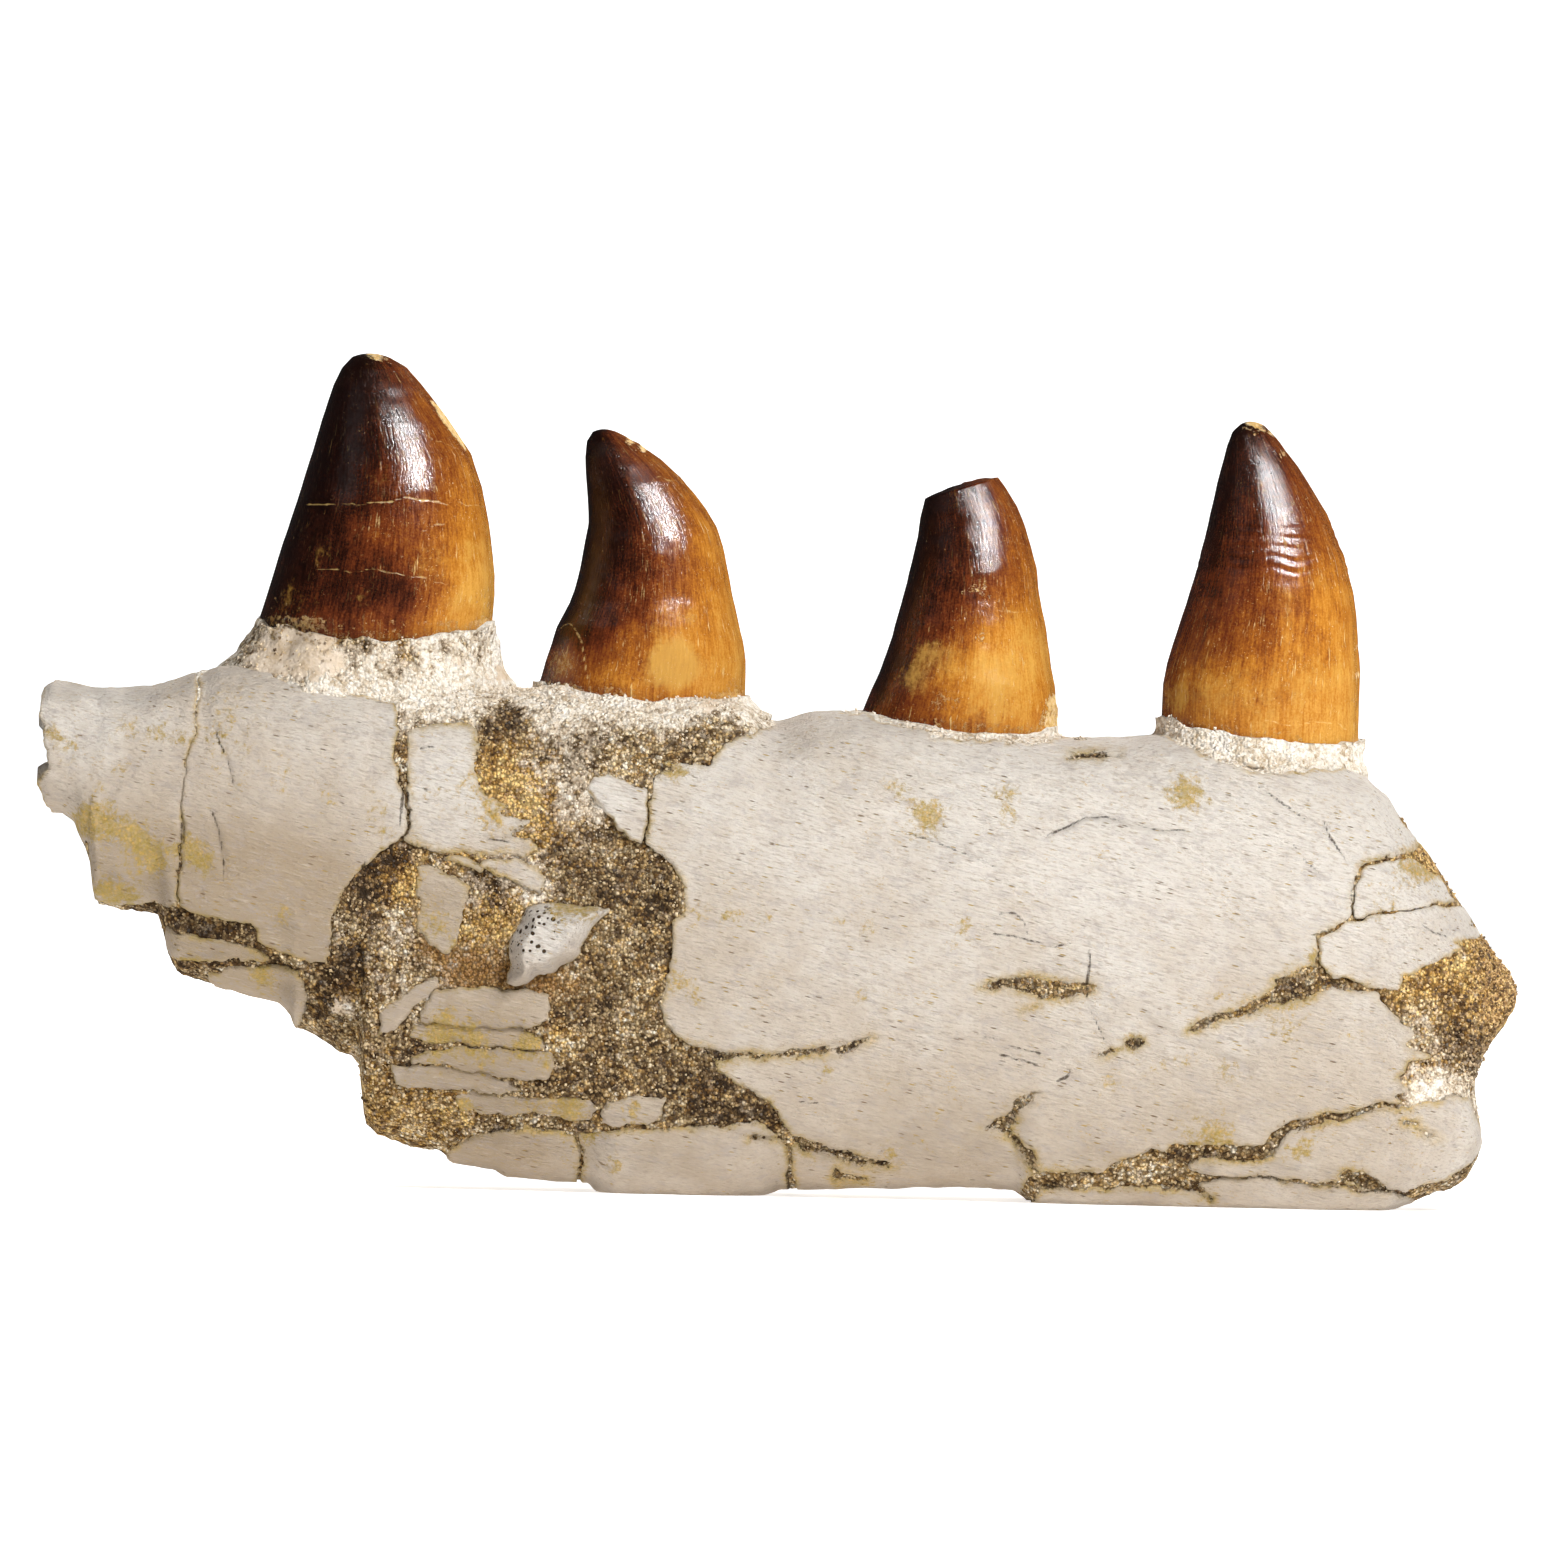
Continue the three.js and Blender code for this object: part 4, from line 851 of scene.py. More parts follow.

# %% [markdown]
# These are the marks of time on the bone, with some painted shade and light, all in millimetres as
# seen from the front. Veins are cracks that have opened and filled with sand, with their half width
# at each point. Hairlines are cracks that have only darkened. Creases are relief alone: depth, half
# width and places. A spot is x, z, radius and strength: of ochre in the stains, of brown and painted
# shade in age_and_shade, with painted light at the standing chip, of holes where pored.

# %% Veins, hairlines, creases and stains
VEINS = [
    [(-12, 20.9, 1.1), (-5, 21.2, 0.5), (0, 21.4, 0.3), (2, 21.9, 0.7), (4, 22, 0.3), (6, 22.3, 0.4),
     (9, 22.4, 0.7), (11, 23, 0.5), (13.6, 24.4, 0.2)],
    [(1, 9.6, 0.3), (2.5, 8.8, 0.4), (4.5, 7.6, 1.0), (8, 6.8, 0.6), (12, 5.8, 0.7), (18, 4.8, 0.1)],
    [(-4, 8.7, 0.3), (1, 8.5, 0.3)],
    [(8.8, 4.4, 0.2), (9.3, 3, 0.8), (12, 3, 0.4), (13.5, 2.9, 0.1)],
    [(30, 32.2, 0.1), (33, 33, 0.7), (36, 33, 1.3), (40, 32.3, 1.5), (43, 32.2, 1.3), (46, 32.8, 0.7),
     (47.6, 33.2, 0.1)],
    [(36.4, 29.2, 0.4), (38.5, 29.7, 0.1)],
    [(30.6, 10.9, 0.1), (33, 11.6, 0.9), (34.8, 12.6, 0.8), (36, 15, 0.9), (38.8, 16.6, 0.2)],
    [(33, 11.6, 0.8), (35, 10.4, 0.4), (36.5, 8.6, 0.5), (37.5, 7.6, 0.9), (38.2, 6, 0.4), (38.9, 4.4, 0.3)],
    [(38.6, 4, 0.4), (40.5, 3.6, 1.1), (44, 4.2, 0.6), (50, 4.4, 0.7), (53, 5.4, 0.9), (57, 5.8, 0.7),
     (60.5, 5, 1.2)],
    [(60.5, 4.6, 1.0), (62.4, 3, 0.8), (65, 1.4, 0.2)],
    [(61, 26.4, 0.2), (63, 27.6, 0.6), (66, 28.8, 0.6), (68, 29.2, 0.6), (71, 30.6, 0.7),
     (73.5, 31.6, 1.1), (76, 33.2, 2.1), (78.5, 34.2, 2.5), (81, 34.2, 1.3), (84, 33.6, 0.4),
     (88, 33.3, 0.1)],
    [(42.3, 67.2, 0.4), (46, 67.6, 0.6), (50, 67.4, 0.2)],
    [(51.8, 24.3, 0.5), (53.8, 24.6, 0.5)], [(47.4, 22.6, 0.3), (49.6, 23.2, 0.1)],
    [(-19.8, 63.4, 0.5), (-18.2, 64.4, 0.4), (-16, 64.2, 0.3)],
    [(85.4, 5.6, 1.2), (88, 4.8, 1.2), (91, 3.6, 0.5)],
    [(94, 13.6, 0.2), (95.4, 13.2, 0.4)], [(96, 12.2, 0.2), (98.2, 11.4, 0.4)],
]
HAIRLINES = [
    [(1.9, 0.8, 0.2), (1.6, 3, 0.2), (2.2, 5.2, 0.14), (1.9, 8, 0.06)],
    [(45.9, 39.4, 0.05), (46, 36, 0.16), (45.6, 33, 0.18), (45.7, 31.4, 0.1)],
    [(46.2, 29.4, 0.0), (47.6, 26.6, 0.1), (49, 23.8, 0.02)],
    [(41.6, 18.6, 0.14), (43, 19.2, 0.16), (43.6, 20.4, 0.06)],
    [(70.8, 63.6, 0.02), (74, 61.5, 0.1), (77.6, 59, 0.02)],
    [(80.4, 59, 0.02), (81.6, 56, 0.14), (84.2, 52.4, 0.04)],
    [(76, 55, 0.0), (78, 52.4, 0.08), (80, 50.8, 0.02)],
    [(-20.3, 53.4, 0.02), (-20.4, 58, 0.06), (-20, 60.6, 0.2), (-20, 63.4, 0.4), (-21, 65.6, 0.15)],
    [(-90.4, 47, 0.0), (-90.2, 50, 0.06), (-90.2, 54, 0.14)],
    [(-85.4, 68, 0.06), (-84.8, 66, 0.16), (-84, 64.8, 0.06)], [(-83.6, 64, 0.0), (-82.6, 60.4, 0.06)],
    [(-85.8, 56, 0.14), (-84.6, 53.4, 0.1), (-83.8, 49, 0.04), (-83.5, 45, 0.06)],
    [(-57.6, 54, 0.0), (-57.3, 57, 0.16), (-57, 60, 0.18), (-58.3, 61.6, 0.06)],
    [(95.6, 43, 0.04), (97.4, 42, 0.1), (99.4, 41.6, 0.04)],
    [(72, 4.6, 0.14), (78, 4.2, 0.06), (80, 4.4, 0.16), (84, 3.8, 0.06)],
    [(33, 22.3, 0.12), (35.4, 21.7, 0.1)], [(36, 21.7, 0.1), (38.6, 20.9, 0.12)],
    [(34, 23.6, 0.02), (39, 22.6, 0.1)], [(30.6, 24.8, 0.12), (32, 24.6, 0.1)],
    [(-54.6, 66, 0.1), (-52.6, 66.2, 0.1)], [(-45, 53.2, 0.04), (-41, 52.6, 0.14)],
    [(-55, 60.2, 0.06), (-53.4, 60, 0.12)], [(3, 14.8, 0.06), (6, 14.4, 0.1)],
    [(15.7, 56, 0.0), (22, 54.3, 0.07), (27, 52.3, 0.05), (31.5, 50.4, 0.0)],
    [(39.3, 55.4, 0.1), (42, 56.6, 0.14), (45, 58.3, 0.05), (48, 58.4, 0.12), (50, 57.8, 0.1)],
    [(53, 57.2, 0.04), (56, 56.6, 0.12), (60, 56.8, 0.04)],
    [(32.4, 43.4, 0.05), (34.6, 43.6, 0.12), (36.2, 42.2, 0.06), (36.6, 40.4, 0.05)],
    [(31.6, 40.4, 0.05), (35, 40, 0.1), (38.6, 39.2, 0.05)], [(40.6, 38.6, 0.12), (43, 39.2, 0.04)],
]
CREASES = [
    (0.5, 0.7, [(39.3, 55.4), (45, 58.4), (50, 58.2), (55, 56.8), (61, 56.8)]),
    (0.3, 0.6, [(58, 56), (64, 48)]), (0.34, 0.7, [(61, 55), (68, 46)]),
    (0.28, 0.6, [(66, 56), (71, 49)]), (0.3, 0.5, [(64, 50), (70, 42)]),
    (0.28, 0.6, [(70, 52), (77, 44)]), (0.25, 0.5, [(66, 44), (70, 40)]),
    (0.26, 0.5, [(70.8, 63.6), (77.6, 59)]), (0.26, 0.5, [(80.6, 59), (86, 50.5)]),
    (0.22, 0.5, [(-3, 60.5), (10, 56), (25, 52)]),
    (0.2, 0.5, [(-6, 63), (8, 58), (20, 53.5)]), (0.4, 0.5, [(15.7, 56), (22, 54.3), (31.5, 50.4)]),
    (0.18, 0.4, [(0, 42), (15, 40.5), (30, 38)]),
    (0.16, 0.4, [(4, 50), (22, 46), (40, 43.5)]),
    (0.22, 0.5, [(50, 16), (60, 13), (68, 12.5)]),
    (0.35, 1.0, [(48, 30), (52, 27), (53.5, 21)]),
    (0.26, 0.6, [(14, 26), (24, 24.6), (34, 22)]),
    (0.35, 0.8, [(-72, 76), (-66, 73), (-60, 72.4)]),
    (0.3, 0.8, [(-84, 61), (-80, 57), (-75, 55)]),
    (0.5, 1.3, [(-87.4, 76), (-87.2, 71), (-86.6, 67)]),
    (0.3, 0.5, [(-90.2, 54), (-90.4, 47)]), (0.3, 0.6, [(-85.6, 56), (-83.6, 47)]),
    (0.3, 0.6, [(-85.4, 68), (-83, 61)]), (0.3, 0.7, [(46, 30), (49, 23.6)]),
    (0.4, 0.8, [(54, 28), (62, 24), (70, 21)]), (0.3, 0.8, [(78, 51), (84, 46)]),
]
STAINS = [
    (16.5, 61.5, 2.2, 0.7), (22, 57, 2.8, 0.9), (20, 59, 2, 0.5), (32.5, 61.5, 2.4, 0.7),
    (34, 58, 2.2, 0.6), (59.6, 62, 3, 1.2), (9, 41.5, 1.7, 0.6), (13, 41, 1.7, 0.6), (27, 41.5, 1.4, 0.8),
    (25.5, 39, 1.3, 0.7), (12, 30.3, 1.6, 0.6), (52, 24.5, 1.5, 0.7), (7, 19, 1.8, 0.7),
    (17, 6.8, 1.5, 0.9), (22, 8.3, 1.4, 0.6), (49.4, 18.4, 2, 0.7), (56, 21, 1.8, 0.5),
    (65.4, 31.8, 1, 0.9), (62, 11, 3.6, 0.75), (66, 11, 3, 0.5), (67, 18.6, 2.2, 0.5), (67, 21.5, 2, 0.5),
    (61, 22.6, 2, 0.5), (-105, 54, 2.4, 1.1), (-101, 53.6, 3, 1.0), (-97, 52, 2.6, 0.8),
    (-95, 49.4, 3, 1.0), (-93.4, 47.6, 2, 0.6), (-89, 50.4, 2.4, 0.9), (-86.8, 48.2, 2, 1.0),
    (-101.4, 43.6, 3, 1.1), (-97.4, 42.4, 2.4, 0.8), (-98.6, 68, 2, 0.7), (-94, 67.6, 2, 0.7),
    (-91, 66.4, 1.6, 0.6), (-109.8, 66.6, 1.6, 1.0), (-107, 64.6, 2, 0.7), (-99.4, 62, 1.6, 0.6),
    (-103, 57, 2.4, 0.5), (-83, 71, 5, 0.4), (-83, 65, 4, 0.4), (-75, 62.4, 3, 0.45), (-68.4, 58.8, 2, 0.5),
    (-74.6, 41, 2.4, 0.7), (-60, 57, 3, 0.5), (-59.6, 53, 2, 0.6), (90, 46, 3, 0.4), (76, 27, 3, 0.55),
    (75, 30.6, 2.4, 0.5), (86, 26.6, 1.8, 0.5), (79.6, 38, 1.6, 0.7), (79, 9.6, 2, 0.7),
    (76.6, 9, 1.6, 0.5), (86.6, 7, 2, 0.5), (94, 52, 3, 0.8), (97, 51, 2, 0.8), (-50, 60, 3, 0.4),
    (-44, 61, 3, 0.7), (-43, 56, 3, 0.7), (-52, 40, 2.5, 0.5), (-47.6, 37, 1.8, 0.9),
    (-55.4, 46.4, 1.6, 0.6), (-50, 25, 2.4, 0.9), (-46, 24.6, 1.6, 0.5), (-36.5, 23.6, 2.2, 1.0),
    (-35, 20, 1.6, 0.6), (-51, 22, 3, 0.9), (-45, 21.8, 2.4, 0.9), (-39, 21.6, 2, 0.8), (-44, 17.4, 2, 0.4),
    (-31, 12.6, 3, 0.9), (-36, 12.2, 2, 0.7), (-47.6, 12.4, 1.6, 1.0), (-22, 12.6, 2, 0.7),
    (-33, 43.2, 2.6, 1.1), (-29, 42.6, 1.8, 0.9), (-27.6, 8.4, 1.6, 1.0), (-24, 4.4, 2, 0.8),
    (-31, 8, 2, 0.5), (-78, 32, 1.6, 0.7), (-77, 30.4, 2.2, 0.6), (-88.6, 32.8, 1.6, 0.9),
    (-12, 30, 2, 0.5), (-15.6, 32, 2, 0.9), (-12.4, 42.4, 2, 0.6), (-8, 42, 1.6, 0.7), (-2.4, 42, 1.2, 0.6),
    (-16, 64.6, 2, 1.0), (-18, 64, 1.6, 0.9),
]
# Browner spots of real ageing, with painted shade along the keel and on the lower left; the negative spot on
# the standing chip paints light on it
AGE_AND_SHADE = [
    (-78, 45, 14, 1.3), (-68, 40, 9, 1.0), (-100, 48, 12, 0.9), (-104, 68, 8, -0.4), (-14, 3, 16, 0.4),
    (-40, 6, 12, 0.5), (-45, 21, 16, 1.0), (-51, 43, 7, 0.9), (20, 8, 22, 0.15), (20, 0, 20, 0.3),
    (60, 0, 24, 0.5), (-80, 31, 12, 0.9), (78, 22, 14, 0.3), (90, 8, 12, 0.25), (-31, 34, 4, 0.8),
    (-12, 34, 10, 0.2), (-110, 58, 4, 0.4), (-50, 61, 8, -0.3), (-28, 60, 6, -0.3), (-35, 38, 6, -0.9),
]
PORED = [(-37.6, 38.4, 4.2, 1.0), (-35, 41.4, 2, 0.5)]
# How the sand is turned: rows of x, z, radius and strength for each mark
GROUND = {
    "pale": [
        (-32, 63, 5, 0.45), (-30, 57, 4, 0.5), (-38, 67, 5, 0.2), (-42, 53, 4, 0.4), (-40, 48, 3.5, 0.6),
        (98, 18, 5, 0.7), (101, 13, 6, 0.7), (-58, 39, 3, 0.35), (-46, 45, 3, 0.35), (-58, 31, 4, 0.3),
        (-36, 45, 3, 0.4), (96, 28, 3, 0.3), (90, 20, 4, 0.3), (-65, 27, 1.4, 0.5), (-66, 38.4, 1.6, 0.35),
        (62, 70, 5, 1), (70, 68, 5, 1), (78, 66, 5, 1), (85, 65, 4, 1), (13, 71, 4, 0.8), (26, 70, 6, 0.8),
        (38, 69, 4, 0.8),
    ],
    "gold": [
        (-43, 61, 6, 1.2), (-41, 55, 6, 1.1), (-57, 46, 4, 1.1), (-43, 41, 5, 0.9), (95, 52, 6, 0.9),
        (93, 36, 5, 0.8), (95, 19, 5, 0.9), (-16, 33, 2, 0.7), (-60, 12, 6, 0.6), (104, 36, 9, 0.9),
        (-36, 44, 3, 0.6), (-50, 11, 5, 0.5), (-64, 31, 4, 0.4), (-53, 74, 4, 0.4), (108, 30, 4, 0.4),
        (-33, 24, 2, 0.6), (70, 31, 4, 0.5), (80, 35, 4, 0.4), (42, 32, 6, 0.3), (-47, 51, 3, 0.5),
        (-58, 81, 5, 0.5), (-67, 79, 3, 0.4), (-36, 58, 4, 0.5), (60, 71, 3, 0.5), (79, 70, 3, 0.4),
    ],
    # Dark: patches of darker sand, and painted shade in the pits, whose places it shares
    "dark": [
        (-42, 70, 3, 1.0), (-31, 50, 5, 0.5), (-22, 46, 4.5, 0.9), (-34, 58, 2.6, 0.7), (-62, 46, 4, 1.0),
        (-87, 39, 9, 1.0), (-64, 34, 4, 1.2), (-68, 28, 4, 0.6), (-27, 31, 5, 0.4), (-18, 38, 4, 0.5),
        (-10, 15, 7, 1.0), (-24, 20, 4, 0.4), (-32, 16, 4, 0.4), (-55, 21, 4, 0.5), (103, 24, 4, 0.6),
        (101, 30, 4, 0.5), (-58.6, 50, 2.4, 1.0), (-44, 45, 3, 0.5), (-58, 66, 1.6, 0.3), (0, 11, 3, 0.6),
        (-40, 30.6, 5, 0.3),
    ],
    "rust": [
        (-44, 33.6, 5, 1.0), (-52, 36.6, 3, 0.9), (-36, 32, 4, 1.1), (-48, 33, 3, 0.8), (-30, 31, 3, 0.4),
        (-49, 48.6, 2.5, 0.5), (-64, 30, 2, 0.4), (-66, 45, 2, 0.5),
    ],
}
BROWNED = [
    (-42, 70, 4, 0.8), (-57, 80.5, 4, 0.6), (-65, 83, 5, 0.6), (-48, 82, 4, 0.5), (-10, 71, 3, 0.4),
    (-74, 82, 6, 0.9), (-80, 78, 5, 0.6),
]
STRONGEST = 1.2
CREST_PALES = (65, 75)


def ground(x, z):
    """The marks that turn the sand, at places seen at x and z. All above the crest is pale."""
    marks = {name: np.clip(blobs(x, z, spots), 0, STRONGEST) for name, spots in GROUND.items()}
    pale = marks["pale"] + smooth(z, *CREST_PALES) - blobs(x, z, BROWNED)
    marks["pale"] = np.clip(pale, 0, STRONGEST)
    return marks


print("veins:", len(VEINS), "hairlines:", len(HAIRLINES), "stains:", len(STAINS))

# %% [markdown]
# Each plate's face is pushed out or in along the surface: the shared swells, a fine grain of long
# fibres, the creases, and the roll at its edge, which is a quarter of a circle. Below the edge a
# wall goes down into the rock and closes on one hidden point. The sand mark is the larger of two
# distances, so the same sand fills the veins and laps over the edges.

# %% One bone plate
WALL_SHARES = (0.25, 0.55, 0.85)
VEIN_DEPTH = 0.4
VEIN_BANKS = (-0.35, 0.25)
FACE_NOISE_FROM = 300
LONG_AND_SINKING = np.array([[0.16, 0.1], [0.0, 1.0]])
PLATE_LOOPS = []
SANDY_SPOTS = []


def bone_face(x, z, places, rise, gap, rim_radius):
    """Height of a plate's face above the jaw's surface, in mm, and its vein distance."""
    here = np.stack([x, z], axis=-1) + FACE_NOISE_FROM
    along = here @ LONG_AND_SINKING
    vein = inside_any(x, z, VEINS) + 0.3 * noise(here, 1.4, 22)
    height = rise + swells(places) + layered(along, (0.09, 0.6, 21), (0.22, 2.4, 24))
    height = height + 0.15 * noise(places, 2.2, 23)
    height = height - (VEIN_DEPTH - 0.15 * noise(here, 0.7, 25)) * smooth(vein, *VEIN_BANKS)
    for depth, half_width, path in CREASES:
        gap_mm = inside(x, z, [(*spot, 0) for spot in path])
        height = height - depth * np.exp(-((gap_mm / half_width) ** 2))
    inset = np.clip(gap / rim_radius, 0, 1)
    return height - rim_radius * (1 - np.sqrt(1 - (1 - inset) ** 2)), vein


def walled(grid, quads, face, base, thick):
    """Points and faces of a plate: its face, a wall below the rim and one hidden point."""
    edges = rim_edges(quads, len(grid))
    rim, below = np.unique(edges, return_inverse=True)
    below = below.reshape(-1, 2) + len(grid)
    walls = [jaw_surface(*grid[rim].T, share * thick - swells(base[rim])) for share in WALL_SHARES]
    middle = jaw_surface(grid[:, 0].mean(), grid[:, 1].mean(), thick)
    points = np.concatenate([face, *walls, [middle]])
    points[:, 2] = np.maximum(points[:, 2], 0)
    faces = [quads]
    for level in range(len(walls)):
        lower = below + level * len(rim)
        faces.append(np.stack([edges[:, 1], edges[:, 0], lower[:, 0], lower[:, 1]], axis=-1))
        edges = lower
    faces.append(np.stack([edges[:, 1], edges[:, 0], np.full(len(edges), len(points) - 1)], axis=-1))
    return points, faces


def bone_plate(name, outline, thick, side=FRONT, rise=0.0, shape=None, cell=0.36, rim_radius=0.35,
               gold=0.0, lap=1.3, wall_sand=1.0):
    """A plate of bone: face, wall and hidden underside, as one closed mesh."""
    seen = closed_loop(outline)
    loop = np.stack([seen[:, 0], girth_of(*seen.T, side)], axis=-1)
    grid, quads, gap = clipped_grid(loop, cell)
    base = jaw_surface(*grid.T, 0.0)
    x, z = grid[:, 0], base[:, 2]
    if shape:
        rise = rise + shape(x, z, gap)
    height, vein = bone_face(x, z, base, rise, gap, rim_radius)
    face = jaw_surface(*grid.T, -height)
    points, faces = walled(grid, quads, face, base, thick)
    hairline, stain = np.full(len(grid), FAR_OFF), np.full(len(grid), gold)
    if side == FRONT:
        hairline = inside_any(x, z, HAIRLINES)
        stain = stain + blobs(x, z, STAINS)
        SANDY_SPOTS.append(face[vein > 0.1])
    PLATE_LOOPS.append(loop)
    below = len(points) - len(grid)
    marks = ground(points[:, 0], points[:, 2])
    # Browner spots: real ageing, and painted shade along the keel and on the lower left
    marks["age_and_shade"] = blobs(points[:, 0], points[:, 2], AGE_AND_SHADE)
    marks["pored"] = blobs(points[:, 0], points[:, 2], PORED) * (side == FRONT)
    marks["sand"] = np.concatenate([np.maximum(0.05 - lap * gap, vein), np.full(below, wall_sand)])
    marks["crack"] = np.concatenate([hairline, np.full(below, FAR_OFF)])
    marks["stain"] = np.concatenate([stain, np.full(below, gold)])
    piece = put_mesh(name + "_bone", points, faces, marks, BONE, "bone", name)
    print(name, len(grid), "points,", len(piece.data.polygons), "faces")


# %% [markdown]
# The left end has two large plates with an open crack between them, and two slivers of bone on the
# ledge below them. Each outline is given as places, anticlockwise from its lower left corner.

# %% Plates of the left end
bone_plate("far_left_plate", [
    (-103.3, 43.2), (-102.8, 41.6), (-100, 41), (-97.5, 41.2), (-95, 41.9), (-92, 41.6), (-90.3, 41.4),
    (-90.4, 46), (-90.4, 50), (-90.3, 54), (-90.4, 57), (-90, 61), (-89.2, 64), (-88.6, 67), (-88.2, 70),
    (-88.4, 74), (-88.3, 77.1), (-90, 76.4), (-95, 74.9), (-99, 74.4), (-104, 74.3), (-108, 74.8),
    (-110.3, 75.1), (-111.4, 73), (-111.9, 70), (-111, 67), (-110.7, 63), (-110.1, 61.6), (-111.9, 60),
    (-111.6, 57), (-110, 54.9), (-107.6, 54.4), (-106.2, 53), (-105.1, 50.2), (-104.1, 49.4),
    (-103.3, 47.4),
], thick=4, rim_radius=0.2, lap=2, wall_sand=-1.0)
bone_plate("left_plate", [
    (-90.1, 41.3), (-86, 40.3), (-82, 39.9), (-79.2, 39.5), (-78.2, 38.2), (-78.3, 36.6), (-76, 35.2),
    (-73, 34.2), (-71, 33.8), (-68.2, 33.4), (-67.6, 35), (-67.8, 37.5), (-67.3, 40), (-66.5, 43),
    (-65, 45), (-63.5, 47.4), (-61.6, 49.4), (-58.9, 51.2), (-57.3, 53), (-56.4, 55.5), (-56.6, 58),
    (-57.2, 60), (-57.8, 62), (-58.8, 64.4), (-58.6, 67.2), (-58.4, 70), (-58.6, 72.6), (-62, 73.4),
    (-66, 74), (-70, 74.3), (-73, 74.9), (-77, 76.4), (-80, 77.6), (-83, 78.2), (-88.2, 77.2), (-88.2, 74),
    (-88.2, 70), (-88.7, 67), (-89.3, 64), (-90.1, 61), (-90.4, 57), (-90.3, 54), (-90.4, 50), (-90.4, 46),
], thick=5.5, rise=0.15, rim_radius=0.2, lap=2)
bone_plate("left_ledge_sliver", [
    (-91.2, 33.6), (-88, 33), (-84, 33.4), (-80, 33.6), (-77.5, 33.6), (-76.8, 34.2), (-79.5, 35.9),
    (-83, 36.4), (-88, 37), (-92.4, 37.8), (-91.9, 35.6),
], thick=3.5, cell=0.35, rim_radius=0.5, gold=0.15)
bone_plate("left_edge_sliver", [
    (-86.3, 29.4), (-84, 29), (-82, 28.5), (-79, 27.9), (-76.5, 27.4), (-75, 27), (-73.9, 25.6),
    (-72.7, 23.4), (-71.5, 24.5), (-71, 26.6), (-71.2, 29.8), (-71.8, 31.6), (-73.5, 32.8), (-77, 33.1),
    (-81, 32.8), (-83.5, 32.1), (-86, 31.2),
], thick=2.8, cell=0.35, rim_radius=0.5, gold=0.15)

# %% [markdown]
# The middle is the most broken part. Small plates, chips and a fan of thin splinters stick out of
# the sand, each a little higher or lower than its neighbours. One chip stands up on its long side,
# with a steep face towards the viewer and a roof that slopes back.

# %% Plates and splinters of the middle
CHIP_FOOT = (-38.5, 31.5)
CHIP_BEHIND = (-0.669, 0.743)
CHIP_STEEP = 1.6
CHIP_GENTLE = 0.1
CHIP_RIDGE = 3.9
CHIP_LIFT = 0.4


def chip_shape(x, z, gap):
    """A ridge from lower left to upper right: it rises steeply from the edge, up to a roof that
    falls gently with the distance behind a line from the foot."""
    behind = CHIP_BEHIND[0] * (x - CHIP_FOOT[0]) + CHIP_BEHIND[1] * (z - CHIP_FOOT[1])
    rough = layered(np.stack([x, z], axis=-1), (0.4, 2.0, 61), (0.2, 0.8, 62))
    roof = CHIP_RIDGE - CHIP_GENTLE * np.maximum(behind, 0) + rough
    return np.minimum(CHIP_STEEP * gap, roof) + CHIP_LIFT


bone_plate("middle_plate", [
    (-57.2, 53), (-55.5, 52), (-53, 51.4), (-50, 50.7), (-47.5, 50.8), (-45, 50.4), (-42, 50.6),
    (-38.5, 50.2), (-36, 51.2), (-36.4, 52.6), (-39.4, 53.2), (-42, 53.8), (-39, 54.6), (-37.6, 55.6),
    (-40.5, 56.6), (-43, 57), (-40.8, 58.2), (-43.6, 59.2), (-45, 61), (-46.2, 63), (-46.2, 65), (-46, 67),
    (-46.6, 69), (-48.5, 69.8), (-51, 70), (-53, 69.9), (-55, 69.7), (-56.4, 69), (-56.8, 66), (-57.1, 64),
    (-56.8, 62), (-56.5, 60), (-56, 57.4), (-56.1, 55),
], thick=5, gold=0.1, rim_radius=0.25, lap=0.9)
bone_plate("middle_lower_plate", [
    (-54, 38.2), (-52.5, 36.8), (-51, 36), (-49.2, 35.6), (-48.2, 38), (-47.9, 40.5), (-47.4, 43),
    (-46.8, 45.9), (-48.5, 47.1), (-50.3, 47.8), (-53, 49.1), (-55.2, 48.6), (-54.8, 45), (-54.3, 42),
    (-54.6, 40),
], thick=3.5, cell=0.35, rise=-0.2, gold=0.15)
bone_plate("middle_splinter", [
    (-50.9, 50), (-48.6, 49.2), (-45.3, 47.5), (-44.3, 48.4), (-46, 49.6), (-49.6, 50.6),
], thick=2.5, cell=0.33, gold=0.2)
bone_plate("upper_flake", [
    (-45.5, 48.4), (-42, 47), (-39, 45.6), (-35.6, 44.8), (-35.2, 47), (-36.6, 49), (-40, 49.9),
    (-45, 49.8),
], thick=3, cell=0.33, rise=0.3, gold=0.2)
bone_plate("standing_chip", [
    (-41, 31.5), (-39, 30.9), (-37, 32), (-34, 33.5), (-31, 35), (-29.5, 37), (-27.5, 40.5), (-25.4, 43),
    (-28, 43), (-30, 42.8), (-33, 43.4), (-35.5, 43.7), (-37.6, 43), (-39.2, 40.6), (-40.2, 38),
    (-40.6, 34.5),
], thick=4, cell=0.3, shape=chip_shape, gold=0.1, lap=4)
bone_plate("crack_flake", [
    (-26, 56.6), (-25, 55.2), (-23, 53.4), (-21.2, 52.8), (-20.7, 55), (-20.3, 58), (-20.4, 61.6),
    (-22.5, 62), (-24.2, 62.2), (-26.4, 63.4), (-28.8, 62.9), (-29.4, 61), (-28.2, 59),
], thick=4, cell=0.33, lap=3)
